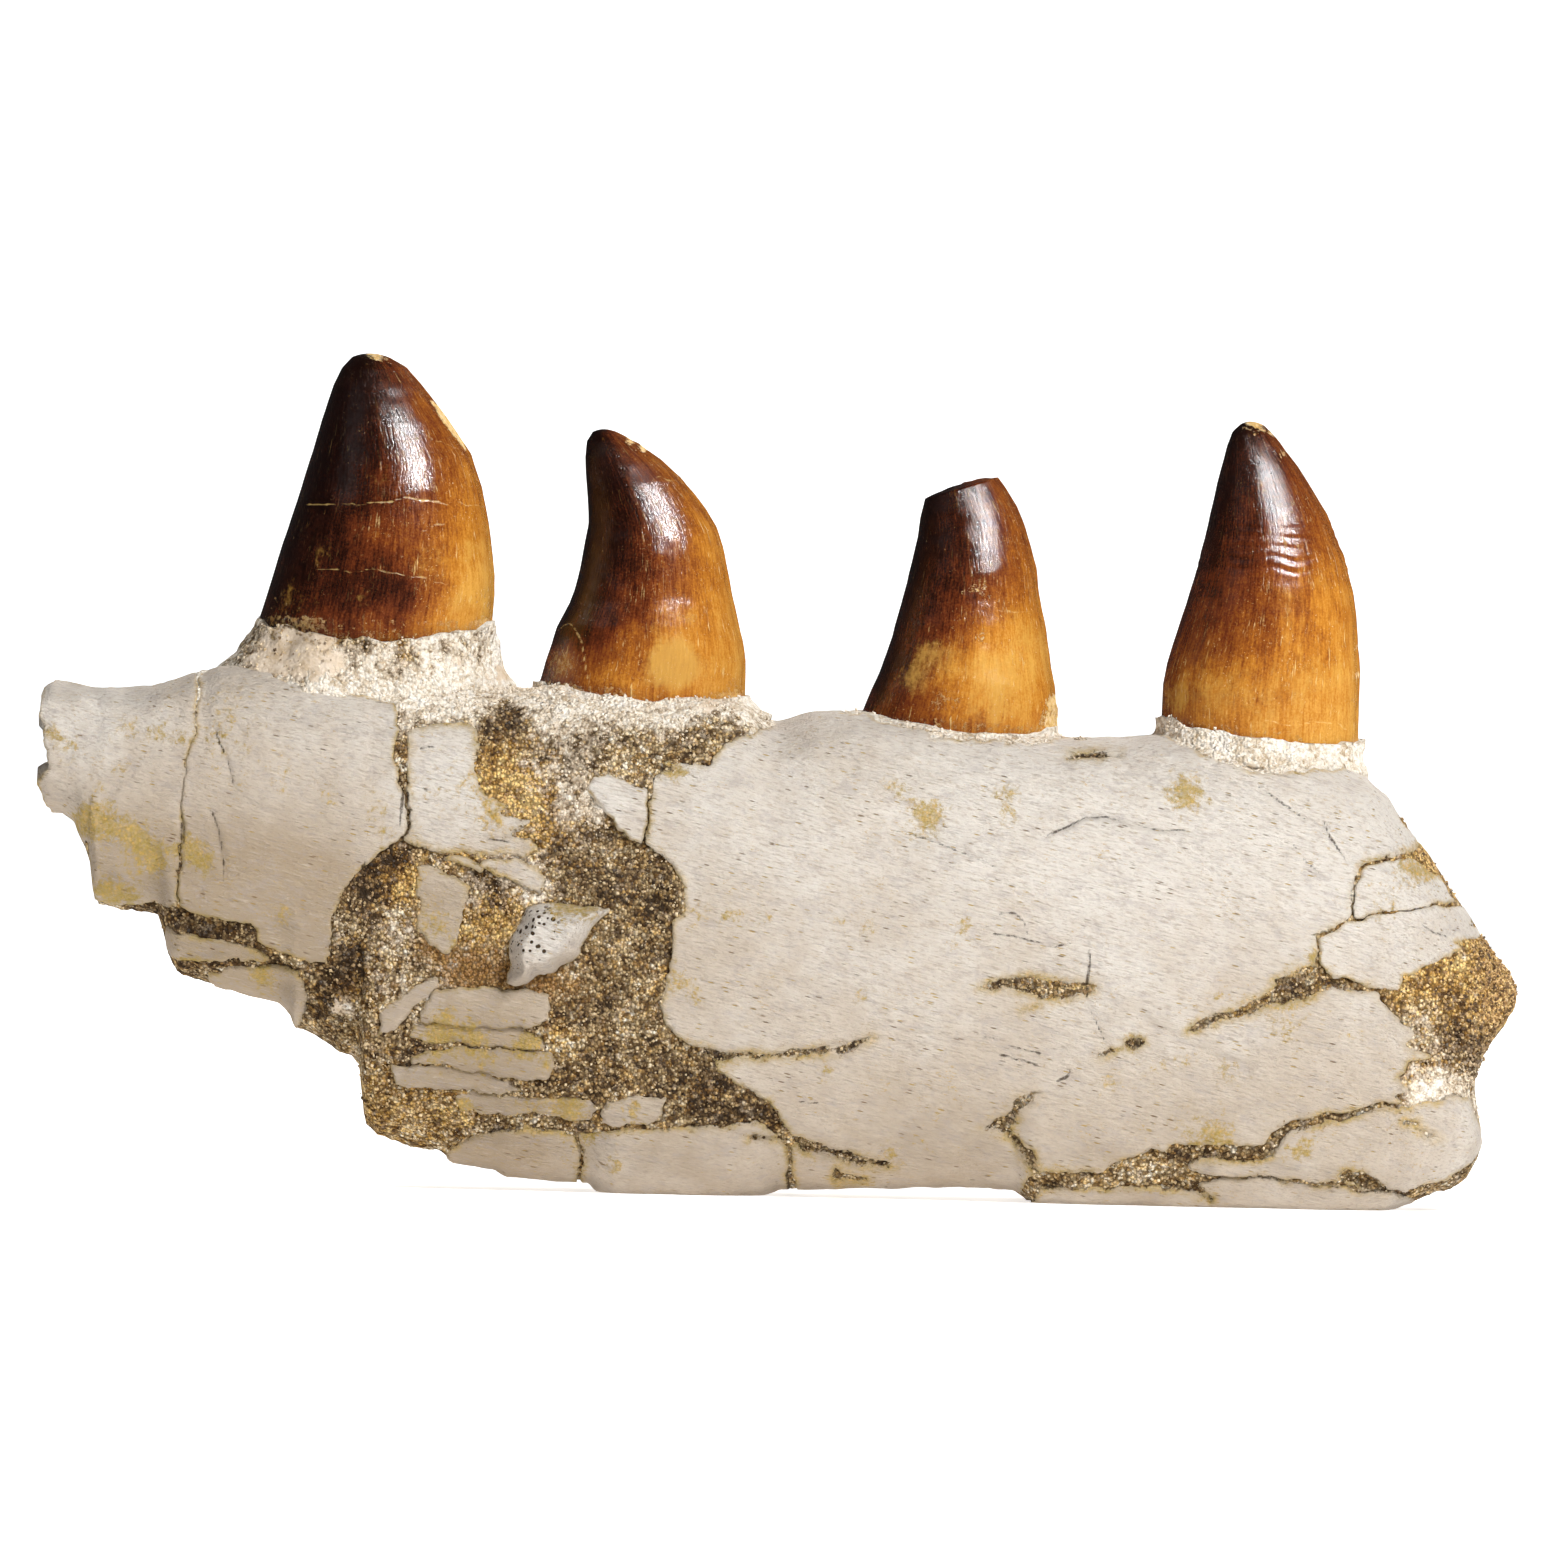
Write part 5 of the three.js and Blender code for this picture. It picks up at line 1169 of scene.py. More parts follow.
SPLINTERS = {
    "diagonal_splinter": [
        (-60.2, 23), (-57.6, 24.4), (-54.8, 27.2), (-50.6, 29.9), (-51.6, 31.2), (-55.8, 29.6),
        (-59.6, 26.6),
    ],
    "splinter_1": [
        (-53.6, 25.2), (-50, 25), (-45, 24.9), (-40, 25), (-36, 25.4), (-34.6, 26.4), (-34.3, 28),
        (-34.8, 29.6), (-40, 30.1), (-45, 30.2), (-50, 30), (-52.2, 29.2), (-53.9, 27),
    ],
    "splinter_2": [
        (-55.4, 22.6), (-52, 21.9), (-47, 21.6), (-42, 21.6), (-38, 21.3), (-34.8, 21.6), (-35.2, 23),
        (-38, 24.3), (-42, 24.7), (-46, 24.7), (-51, 24.9), (-55, 24.2),
    ],
    "splinter_3": [
        (-55, 19), (-50, 18.6), (-46, 18), (-42, 17.3), (-38, 17), (-34.6, 17.8), (-33.3, 19.4),
        (-33.8, 20.9), (-38, 21), (-43, 21.1), (-48, 20.9), (-51, 20.3), (-54.8, 20),
    ],
    "splinter_4": [
        (-57.4, 15.5), (-52, 14.8), (-46, 14.6), (-41, 14.8), (-37.6, 15.4), (-40.6, 16.7), (-45, 17.6),
        (-50, 18.2), (-55, 18.5), (-58.3, 17.8),
    ],
    "splinter_5": [
        (-48, 11.8), (-44, 11.4), (-36, 11.7), (-30, 11), (-27.8, 11), (-27.2, 12.8), (-28.4, 14.1),
        (-34, 14.3), (-40, 14.2), (-46, 14), (-49, 13.4),
    ],
    "small_block": [
        (-26.4, 10.7), (-23, 10.5), (-19, 10.7), (-18, 12), (-16.4, 14.4), (-20.5, 14.8), (-25.4, 14),
        (-26.8, 12.6),
    ],
}
SPLINTER_RISE = 0.35
SPLINTER_SPREAD = 1.16


def fattened(outline):
    """The outline with its heights spread from their middle, so that neighbours nearly touch."""
    heights = [z for _, z in outline]
    middle = (min(heights) + max(heights)) / 2
    return [(x, middle + (z - middle) * SPLINTER_SPREAD) for x, z in outline]


for order, (name, outline) in enumerate(SPLINTERS.items()):
    bone_plate(name, fattened(outline), thick=3, cell=0.33, rim_radius=0.5, gold=0.15, lap=3.2,
               rise=SPLINTER_RISE * math.sin(2.4 * order))

# %% [markdown]
# The right half is one great slab. It is a single piece, because its veins stop inside it. Along
# the keel and round the broken right end lie smaller plates.

# %% The great slab and the plates round it
bone_plate("main_plate", [
    (2.5, 0.2), (8, 0.5), (18, 0.9), (28, 1.1), (36, 0.8), (36.6, 2.4), (37.8, 3.6), (39.4, 4.6), (42, 4.6),
    (45, 4.4), (48.6, 4.8), (51.6, 6.8), (55, 7.9), (60, 8.9), (65, 9.3), (70, 9.4), (73, 9.6),
    (74.2, 11.2), (75.6, 13.2), (80, 13.9), (85, 15), (90, 16), (93, 16.6), (92.4, 18), (93.6, 20),
    (93, 21.4), (96, 23), (95.4, 25), (96, 26.6), (93, 28), (91, 29.2), (90, 30.8), (89.2, 32.8),
    (84, 33.5), (80.2, 35.6), (79.9, 37.6), (80.3, 39.4), (80.5, 41.4), (82.6, 42.6), (84.6, 43.6),
    (84.8, 47), (85.2, 50), (86.4, 52), (88.6, 53), (91.4, 53.6), (95.4, 55.1), (92.4, 59.3), (90, 62.9),
    (87.4, 65.2), (84.8, 66.4), (82, 66), (78, 65.5), (74, 65.4), (70, 65.6), (66, 66.6), (62, 68),
    (58, 69.6), (56, 70.9), (53, 70.3), (50, 70.2), (45, 70), (41.5, 69.9), (38, 69), (30, 69.1),
    (25, 69.3), (20, 70), (15, 71.6), (11.5, 72.5), (9, 72.9), (6, 73.2), (3, 72.9), (0, 71.9), (-2, 71),
    (-5, 69.4), (-8, 68.6), (-9.6, 67.8), (-10.6, 66.4), (-11, 64.8), (-12.5, 64.6), (-16, 65.4), (-19, 65),
    (-20, 62.5), (-20.2, 58), (-20.6, 53), (-18.2, 51), (-16.2, 49), (-14.7, 46), (-14.9, 42.2),
    (-16.4, 41.2), (-16.3, 36), (-17.4, 33), (-17.9, 29), (-17.6, 25.6), (-16, 24), (-13.5, 22.6),
    (-10.5, 21.6), (-9.2, 18.8), (-8.8, 18), (-6, 16.4), (-3, 15), (-1, 14.4), (0, 12.4), (1.3, 10.2),
    (2.4, 8.4), (2.3, 5),
], thick=6, cell=0.38, rim_radius=0.25)
bone_plate("keel_plate_left", [
    (-49.6, 4.4), (-46, 2.6), (-42, 1.9), (-38, 1), (-34, 0.8), (-29.8, 1.4), (-28.9, 3.2), (-29.4, 5.4),
    (-30.1, 8.4), (-33, 9.3), (-37, 9.7), (-41, 9.1), (-45, 7.8), (-49.6, 6),
], thick=4.5, rim_radius=0.4, gold=0.1)
bone_plate("keel_plate_middle", [
    (-29.2, 1.4), (-26.2, -1.2), (-24, -2.8), (-16, -2.8), (-8, -2.8), (-3, -1.4), (1.9, 0.2), (1.7, 2.5),
    (2, 5), (1.9, 7.4), (0.8, 8.9), (-1, 10), (-2.6, 11.4), (-5, 11), (-8, 10.4), (-15, 10.1), (-20, 9.8),
    (-25, 9.5), (-29.7, 9.2), (-29, 5.8), (-28.5, 3.3),
], thick=5, rim_radius=0.3)
bone_plate("keel_plate_right", [
    (38.6, -2.4), (42, -2.9), (50, -3.3), (62, -3.3), (75, -3.3), (85, -3.2), (90, -2), (94, -0.4),
    (95.5, 1.2), (94.8, 2.2), (91, 2.9), (88, 3.1), (84, 3.8), (78, 4.1), (72, 4.4), (67, 4.6), (64, 3.4),
    (61, 2.3), (57, 3.2), (53, 3.3), (50, 2.8), (46, 2.6), (42, 2.6), (39.2, 2.4), (38.6, 0.6),
], thick=5, rim_radius=0.3, gold=0.1)
bone_plate("right_plate", [
    (80.9, 36), (83, 34.8), (86, 34.1), (89.5, 33.4), (92.4, 33.4), (93.6, 35.4), (96.8, 36.6), (97, 38.4),
    (101, 39.6), (103.8, 42.6), (103, 44.8), (101, 46.2), (98, 45.8), (94, 45.3), (90, 44.4), (86, 43.9),
    (84.6, 43.3), (82.7, 42.3), (80.9, 41.1), (80.5, 39), (80.3, 37.4),
], thick=4.5, cell=0.38, rim_radius=0.2, lap=2.4)
bone_plate("right_upper_plate", [
    (85, 44.1), (90, 44.7), (94, 45.6), (98, 46.1), (100.4, 46.8), (98, 50), (95.8, 52), (93.4, 53.3),
    (90, 52.9), (88, 52.4), (86.4, 51.4), (85.3, 48.6),
], thick=3.5, cell=0.38, gold=0.1, rim_radius=0.2, lap=2.4)
bone_plate("right_bottom_plate", [
    (61.5, 5.2), (65, 4.9), (70, 4.7), (78, 4.4), (84, 4.2), (88, 3.5), (91, 3.3), (95, 3.4), (100, 5),
    (103.6, 8), (104.6, 10.4), (104.4, 14), (103.6, 17), (101, 18), (98, 17), (95, 16.6), (92, 15.8),
    (88, 14.9), (85, 14.1), (80, 12.9), (76.6, 12.1), (75.4, 10), (74, 7.6), (70, 7.2), (65, 7.2),
    (61.4, 6.6),
], thick=4.5, cell=0.38, rim_radius=0.3, rise=0.15)

# %% [markdown]
# The back can't be seen from the front, but it is finished all the same: six large plates with
# sand in the cracks between them, made the same way on the other side of the surface.

# %% Plates of the back
BACK_PLATES = {
    "back_left_plate": (4.5, 0.2, [
        (-108, 58), (-100, 54.6), (-92, 50), (-80, 44.6), (-72, 41), (-66, 41), (-62, 46), (-61.6, 53),
        (-60, 60), (-61.5, 70), (-74, 72), (-86, 71), (-98, 70), (-109, 69), (-109.6, 63),
    ]),
    "back_middle_plate": (4.5, 0.0, [
        (-56, 38.5), (-45, 41), (-34, 40), (-24, 42), (-22, 50), (-24, 58), (-22.4, 65), (-34, 67.5),
        (-46, 68), (-55, 67), (-57.5, 60), (-55, 50),
    ]),
    "back_main_plate": (5, 0.5, [
        (-18, 41), (-5, 39), (10, 40), (26, 38), (42, 39), (58, 36.5), (61, 44), (58, 52), (61, 63),
        (48, 66), (30, 65.4), (12, 67), (-4, 66), (-16, 65.5), (-19, 58), (-17, 50),
    ]),
    "back_right_plate": (4.5, 0.1, [
        (62.6, 36), (75, 35), (90, 33), (99, 31.5), (99, 38), (95, 47), (88, 57), (78, 61.6), (67, 62.6),
        (65, 55), (62.6, 49),
    ]),
    "back_lower_left_plate": (4.5, 0.1, [
        (-57, 13), (-48, 9.4), (-36, 7), (-22.4, 6), (-20.4, 14), (-22, 22), (-24, 32), (-38, 33.5),
        (-50, 31), (-58, 28.6), (-59.4, 22),
    ]),
    "back_lower_right_plate": (5, 0.4, [
        (-18, 6), (0, 7), (20, 7), (44, 6.4), (66, 5), (80, 5), (93, 7), (98, 12), (97, 18), (94, 26),
        (80, 29), (62, 30), (40, 29), (22, 31), (4, 33), (-14, 32), (-17, 24), (-15, 14),
    ]),
}
for name, (thick, rise, outline) in BACK_PLATES.items():
    bone_plate(name, outline, thick, side=BACK, cell=0.7, rim_radius=0.6, rise=rise)

# %% [markdown]
# The rock is one loft along the jaw. It lies a little behind the faces of the bone, and rises and
# sinks in lumps of a few millimetres. The rings are close together where much sand shows, in the
# broken middle and at the right end. The feet of the teeth are lofts of their own, from a ragged
# lip round each crown down into the jaw, and belong to the same piece.

# %% Rock and the feet of the teeth
STRETCHES = [
    (-109.6, -100, 0.7), (-100, -68, 0.8), (-68, -8, 0.42), (-8, 86, 1.3), (86, 103, 0.5),
    (103, 107.5, 0.22), (107.5, 110.3, 0.35),
]
STEPS_FRONT = 200
STEPS_BACK = 36
BELOW_CREST = (74, 66)
RECESS = 0.15
PROUDEST = -0.15
UNDER_BONE = 1.3
LAP_DEPTH = 0.25
ROCK_FLOOR = 0.2
START_CAP = ((0.35, 1.0), (0.7, 0.8), (0.92, 0.4))
END_CAP = ((0.8, 0.15), (0.4, 0.3))
BARE_SPOTS = [
    (-76, 79.5, 5, 1.1), (-70, 80, 4, 0.8), (-60, 79, 2.4, 0.6), (-50, 79, 2.6, 0.5), (-33, 73.8, 2, 0.5),
    (-34, 69.6, 2, 0.6), (-12, 73.5, 2.5, 0.6), (-65.6, 27.2, 1.6, 0.8), (-66.2, 38.4, 1.6, 0.5),
    (-52, 73, 2, 0.5), (33, 71.4, 2, 0.5), (-43, 76.5, 3, 0.6), (58, 72, 1.6, 0.6), (-58.6, 41, 1.6, 0.4),
]
PITS = [
    (-23.5, 50, 4, 1.1), (-21.5, 44, 3, 0.9), (-27, 55, 3.5, 0.8), (-41, 66, 4, 0.6), (-38, 70, 3, 0.5),
    (-46.5, 46, 3, 0.6), (-62, 46, 2.5, 0.6), (-24, 30, 4, 0.4), (-30, 38, 3, 0.5), (-87, 40, 4, 0.7),
    (-13, 17, 3, 0.5), (101, 28, 4, 0.5),
]
LIP = 0.7
FOOT_RINGS = 26
FRONT_OF = -4
FEET_FROM = 71


def covered(places):
    """Which places of a grid of x and girth lie under a plate, and which lie well under one: all
    their neighbours are under the same plate. Girth is also tried less a full turn, because
    plates that cross the keel start below 0."""
    flat = places.reshape(-1, 2)
    under, deep = np.zeros((2, *places.shape[:2]), bool)
    for loop in PLATE_LOOPS:
        hidden = enclosed(flat, loop) | enclosed(flat - np.array([0.0, 2.0]), loop)
        hidden = hidden.reshape(under.shape)
        under |= hidden
        beside = [np.roll(hidden, step, axis) for axis in (0, 1) for step in (-1, 0, 1)]
        deep |= np.logical_and.reduce(beside)
    return under, deep


def rock_rings():
    """Rings of the jaw's surface. Where the sand shows, it is sunk by a recess, less the shared
    swells and lumps of noise of 5, 2 and 1 mm. It laps a little way under the plates' edges, and
    further in, where nothing shows, it is sunk more."""
    x = np.unique(np.concatenate([np.arange(a, b, step) for a, b, step in STRETCHES]))
    front, back = np.linspace(0, 1, STEPS_FRONT + 1), np.linspace(1, 2, STEPS_BACK + 1)
    girth = np.concatenate([front[:-1], back[:-1]])
    x, girth = np.meshgrid(x, girth, indexing="ij")
    base = jaw_surface(x, girth, 0.0)
    away = smooth(base[..., 2], *BELOW_CREST)
    pit = blobs(x, base[..., 2], PITS)
    lumps = layered(base, (0.6, 5.0, 32), (0.4, 2.1, 33), (0.26, 1.0, 34))
    depth = RECESS + (0.2 + 0.8 * pit) * away - lumps * (0.4 + 0.45 * away)
    depth = np.maximum(depth, PROUDEST)
    under, deep = covered(np.stack([x, girth], axis=-1))
    depth = np.where(under, np.maximum(depth, LAP_DEPTH), depth)
    depth = np.where(deep, UNDER_BONE, depth) - swells(base)
    rings = jaw_surface(x, girth, depth)
    rings[..., 2] = np.maximum(rings[..., 2], ROCK_FLOOR)
    return rings, under


def shrunk(ring, share, shift):
    """A ring drawn towards its middle and moved along the jaw, for a closed end."""
    middle = ring.mean(0)
    return middle + (ring - middle) * share + np.array([shift, 0, 0])


def capped(rings):
    """The rock with rounded ends."""
    first, last = rings[0], rings[-1]
    starts = [shrunk(first, share, -shift) for share, shift in START_CAP]
    ends = [shrunk(last, share, shift) for share, shift in END_CAP]
    whole = np.concatenate([starts, rings, ends])
    return loft(whole, starts[0].mean(0), ends[-1].mean(0))


def joined(parts):
    """Several lots of points and faces as one."""
    points, faces, count = [], [], 0
    for some_points, some_faces in parts:
        points.append(some_points)
        faces += [f + count for f in some_faces]
        count += len(some_points)
    return np.concatenate(points), faces


# %% [markdown]
# A crown is a row of slices from base to tip. Its two edges, as seen from the front, are paths, and
# a slice joins the points at the same share of each path. Round the slice runs an oval that
# is a little pointed at the two cutting edges. A crown's thickness follows its width, and swells a
# little half way up. At its top the last slice closes in a cap: low and round where the tip is
# worn, flat and rough where it broke off.

# %% The shapes of the crowns
TEETH = {
    "tooth_1": {
        "left": [(-79.5, 85), (-78, 90), (-76.5, 95), (-75, 100), (-73.4, 105), (-71.9, 110), (-70.6, 115),
                 (-69, 120), (-67.9, 122.5), (-66.4, 124.2)],
        "right": [(-44.8, 85), (-44.5, 89), (-44.6, 92), (-45, 95), (-45.7, 100), (-46.7, 105),
                  (-48.5, 110), (-50.2, 112.3), (-52, 115), (-54, 117.5), (-56, 120), (-58.5, 122.8),
                  (-61, 124.2)],
        "thickness": 13.5, "cap": 0.6, "dip": 3.0, "rough": 0.0,
        "foot": {"height": 9.5, "left": 8, "right": 3, "depth": 15, "bottom": 69},
    },
    "tooth_2": {
        "left": [(-37.3, 76), (-36.5, 79), (-35.5, 82), (-34.8, 84.5), (-33, 88), (-31.8, 92), (-31.2, 95),
                 (-30.7, 98), (-30.5, 100), (-30.8, 105), (-31.2, 110), (-31, 112.4), (-30.2, 113.8)],
        "right": [(-6.7, 75), (-6.7, 80), (-7.2, 83), (-8, 86), (-9, 90), (-9.8, 94), (-10.5, 97),
                  (-11.5, 100), (-13, 102.5), (-15, 105), (-17, 107.2), (-20, 109.8), (-23.5, 112.2),
                  (-26.4, 113.7)],
        "thickness": 12, "cap": 0.5, "dip": 1.8, "rough": 0.0,
        "foot": {"height": 3, "left": 1.4, "right": 4, "depth": 13.6, "bottom": 68},
    },
    "tooth_3": {
        "left": [(11.2, 72.5), (12.5, 76), (14, 79.5), (15.5, 84), (16.5, 88), (17.5, 92), (18.2, 95),
                 (19, 99), (19.3, 102), (19.9, 104.9)],
        "right": [(40.4, 71), (40.3, 74), (39.8, 77.5), (39.2, 80), (38.6, 83), (38, 87), (37.2, 91),
                  (36.7, 95), (35.8, 98), (34.8, 101), (33.5, 104), (31.6, 107), (30.6, 108.3)],
        "thickness": 11.5, "cap": 0.7, "dip": 1.6, "rough": 0.4,
        "foot": {"height": 2.6, "left": 3, "right": 1.6, "depth": 13, "bottom": 66},
    },
    "tooth_4": {
        "left": [(56.2, 73), (56.2, 78), (56.8, 81), (58, 85), (59.5, 90), (60.8, 95), (62, 100), (63, 105),
                 (64, 110), (65, 114), (65.8, 116), (67, 117.2)],
        "right": [(85.4, 70), (85.5, 80), (85, 85), (84.7, 89), (84, 93), (83, 97), (81.5, 100.5),
                  (80, 104), (77.5, 108), (75.5, 111), (73.5, 113.5), (72, 115.5), (70.4, 117)],
        "thickness": 12.5, "cap": 0.5, "dip": 1.2, "rough": 0.0,
        "foot": {"height": 4.6, "left": 2, "right": 1.2, "depth": 14.6, "bottom": 64.5},
    },
}
AROUND = 132
SLICES = 150
ROOT_DEPTH = 5.0
THICKNESS_FOLLOWS_WIDTH = 0.85
CROWN_BELLY = 0.12
CAP_SHARES = (0.93, 0.82, 0.66, 0.45, 0.22)
PINCH = 1.1
ANGLE = np.linspace(0, 2 * np.pi, AROUND, endpoint=False)


def oval(left, right, thickness):
    """Ovals from left points to right points: middle + half * cos along the slice, and
    -thickness * sin^p across it. One row of points for each slice."""
    middle, half = (left + right) / 2, (right - left) / 2
    x = middle[:, :1] + half[:, :1] * np.cos(ANGLE)
    z = middle[:, 1:] + half[:, 1:] * np.cos(ANGLE)
    pinched = np.sign(np.sin(ANGLE)) * np.abs(np.sin(ANGLE)) ** PINCH
    return np.stack([x, -np.reshape(thickness, (-1, 1)) * pinched, z], axis=-1)


def foot_of(tooth):
    """The raised foot of a tooth: rings that flare from the lip down into the jaw, roughened
    along their own outward direction."""
    foot = tooth["foot"]
    left, right = np.array(tooth["left"][0], float), np.array(tooth["right"][0], float)
    share = np.linspace(0, 1, FOOT_RINGS) ** 1.2
    drop = share * (min(left[1], right[1]) - foot["bottom"])
    flare = np.minimum(drop / foot["height"], 1) ** 1.8
    low_left = left - np.stack([LIP + foot["left"] * flare, drop], axis=-1)
    low_right = right + np.stack([LIP + foot["right"] * flare, -drop], axis=-1)
    depth = tooth["thickness"] + LIP + (foot["depth"] - tooth["thickness"] - LIP) * share
    rings = oval(low_left, low_right, depth)
    dip = tooth["dip"] * np.abs(np.sin(ANGLE)) ** 1.5
    rings[..., 2] -= dip * (1 - share[:, None]) ** 2
    out = rings - rings.mean(1, keepdims=True)
    out /= np.linalg.norm(out, axis=-1, keepdims=True)
    bumps = layered(rings, (0.6, 5.0, 41), (0.4, 2.0, 42), (0.25, 1.0, 43))
    rings += out * (bumps - 0.1)[..., None]
    rings[0, :, 2] += layered(rings[0], (0.8, 3.0, 44), (0.4, 1.2, 45))
    return loft(rings, rings[0].mean(0), rings[-1].mean(0), flipped=True)


def rock():
    """The rock and the four feet as one piece. Returns the points where sand shows in front."""
    rings, under = rock_rings()
    parts = [capped(rings)] + [foot_of(tooth) for tooth in TEETH.values()]
    points, faces = joined(parts)
    x, z = points[:, 0], points[:, 2]
    on_foot = np.arange(len(points)) >= len(parts[0][0])
    marks = ground(x, z)
    marks["bare"] = blobs(x, z, BARE_SPOTS)
    piece = put_mesh("sandy_rock", points, faces, marks, SAND, "rock", "rock_matrix")
    print("rock:", len(piece.data.polygons), "faces")
    bare_sand = rings[(rings[..., 1] < FRONT_OF) & ~under]
    return np.concatenate([bare_sand, points[on_foot & (points[:, 1] < FRONT_OF) & (z > FEET_FROM)]])


sandy_points = rock()

# %% [markdown]
# A crown's colour follows its form: dark along the left edge and up at the tip, amber towards
# the right edge and the base. Spots of wear, film and fine cracks are given one by one for each
# tooth, in the same millimetres as its outline. They could be painted, too; as numbers, they
# stay sharp at any size of the mesh.

# %% The looks of the crowns
LOOKS = {
    "tooth_1": {
        "tone": (0.4, 0.82, 0.52),
        "worn": [(-62.6, 125.4, 1.9, 1.0)],
        "strips": [[(-54.6, 118, 0.0), (-53.2, 116.6, 0.35), (-51.5, 114.2, 0.45), (-49.9, 112.2, 0.3),
                    (-49, 110.6, 0.0)]],
        "dull": [(-62, 106, 2, 0.3), (-61.5, 98, 2.4, 0.35), (-53, 94, 4, 0.45), (-47, 96, 2.5, 0.4),
                 (-50, 88, 3, 0.4), (-74, 88, 3, 0.4), (-70, 95, 2, 0.3), (-64, 88, 2, 0.35)],
        "crust": [(-46, 90, 2.2, 0.7), (-45.4, 86.5, 2.4, 0.9), (-76.5, 87, 2.6, 0.7), (-49.6, 109, 1, 0.7),
                  (-49.2, 106, 0.9, 0.6), (-72, 85.6, 2.4, 0.6), (-52, 84.6, 2, 0.4)],
        "warm": [(-58, 89, 5, -0.3), (-66, 90, 5, -0.16), (-50, 97, 5, 0.04), (-46, 90, 3, 0.3),
                 (-62, 106, 2, 0.12), (-62, 98, 3, 0.12)],
        "cracks": [[(-73, 102, 0.08), (-66, 102.6, 0.1), (-58, 103.3, 0.14), (-46, 102.4, 0.06)],
                   [(-60.6, 111.2, 0.04), (-55.4, 112.4, 0.08), (-50.2, 111.3, 0.05)],
                   [(-57, 97.6, 0.02), (-52, 99.6, 0.07), (-47, 101.8, 0.03)],
                   [(-71, 92.6, 0.05), (-60.8, 92.8, 0.08), (-50.4, 90.2, 0.06), (-46, 89.4, 0.02)]],
        "ripples": (96, 106, 0.0),
    },
    "tooth_2": {
        "tone": (0.44, 0.76, 0.42),
        "worn": [(-24.5, 112.6, 0.8, 0.8), (-22.5, 111.4, 0.7, 0.8)],
        "dull": [(-17.2, 80.4, 3.4, 1.3), (-18.6, 78, 3, 0.8), (-15, 78.6, 2.6, 0.7), (-14.8, 86.5, 1.2, 0.7),
                 (-9.4, 80, 2.5, 0.4), (-21, 85, 1.4, 0.5)],
        "crust": [(-33.6, 80, 2.6, 0.9), (-35, 77.4, 2.4, 0.7), (-31.6, 77, 1.6, 0.5), (-8, 76, 2.6, 0.9),
                  (-8.4, 80.6, 1.6, 0.6), (-22, 77, 1.4, 0.5), (-14.8, 86.4, 0.8, 0.5), (-26, 76.4, 2, 0.4)],
        "warm": [(-27, 77, 5, 0.2), (-34, 79, 3, 0.4), (-18, 84, 5, 0.12), (-20, 79, 8, 0.08),
                 (-13, 98, 3, 0.1)],
        "cracks": [[(-34.5, 84.6, 0.06), (-32.1, 84.3, 0.12), (-30.9, 82.2, 0.14), (-30, 77, 0.14)],
                   [(-24.6, 105.6, 0.0), (-20, 106.8, 0.06), (-16, 107, 0.03)],
                   [(-10.6, 104, 0.0), (-10.2, 99, 0.1), (-9.6, 95, 0.02)]],
        "ripples": (82, 90, 0.006),
    },
    "tooth_3": {
        "tone": (0.47, 0.6, 0.38),
        "worn": [(28.5, 92, 1.1, 0.5), (26.8, 91.4, 0.8, 0.4), (29.4, 90.6, 0.8, 0.4),
                 (28.4, 84.8, 0.8, 0.4), (29.4, 83.6, 0.7, 0.4), (39.8, 75, 1.2, 0.8),
                 (39.8, 72, 1.8, 1), (22, 107, 1, 0.3), (30, 109, 0.9, 0.4)],
        "dull": [(19, 78, 2.6, 0.8), (25, 81, 3.4, 0.6), (33, 80, 5, 0.6), (31, 74, 5, 0.7), (21, 82, 2, 0.7),
                 (36, 85, 2.6, 0.5), (33.5, 88, 2, 0.4)],
        "crust": [(25, 75.6, 3.2, 0.75), (38, 73, 2.4, 0.6), (22, 74.6, 2, 0.5), (31, 72.6, 2, 0.4)],
        "warm": [(27, 79, 7, 0.3), (34, 83, 6, 0.2), (14, 80, 3, -0.15), (28, 99, 5, -0.04)],
        "cracks": [[(27, 88.2, 0.0), (32, 88.6, 0.05), (38, 88.2, 0.02)],
                   [(31, 99, 0.0), (35, 98.6, 0.04)]],
        "ripples": (84, 96, 0.006),
    },
    "tooth_4": {
        "tone": (0.57, 0.46, 0.66),
        "worn": [(69.4, 118.2, 1.9, 1.1), (71.8, 115.8, 0.7, 0.5), (73.4, 113, 0.7, 0.5),
                 (85.6, 84, 0.8, 0.5), (85.6, 80, 0.9, 0.6)],
        "dull": [(63, 78, 5, 0.5), (72, 76, 6, 0.5), (80, 80, 5, 0.5), (76, 88, 4, 0.3), (58, 76, 2.6, 0.6),
                 (80, 94, 2, 0.5), (74, 92, 2, 0.4)],
        "crust": [(71, 80, 3, 0.45), (66, 74.4, 2.6, 0.5), (84.6, 76, 2, 0.8), (84.6, 84, 1.4, 0.5),
                  (74, 74, 3, 0.4), (82.6, 96, 1.2, 0.4)],
        "warm": [(80, 92, 5, 0.1), (62, 78, 5, 0.12), (70, 76, 8, 0.06), (64, 112, 4, 0.05)],
        "cracks": [[(71.5, 73.2, 0.06), (78, 72.6, 0.12), (84, 72.3, 0.12)],
                   [(78, 99, 0.0), (79.4, 95.6, 0.1), (80, 93, 0.02)]],
        "ripples": (94, 104, 0.075),
    },
}
print("looks for", len(LOOKS), "crowns")

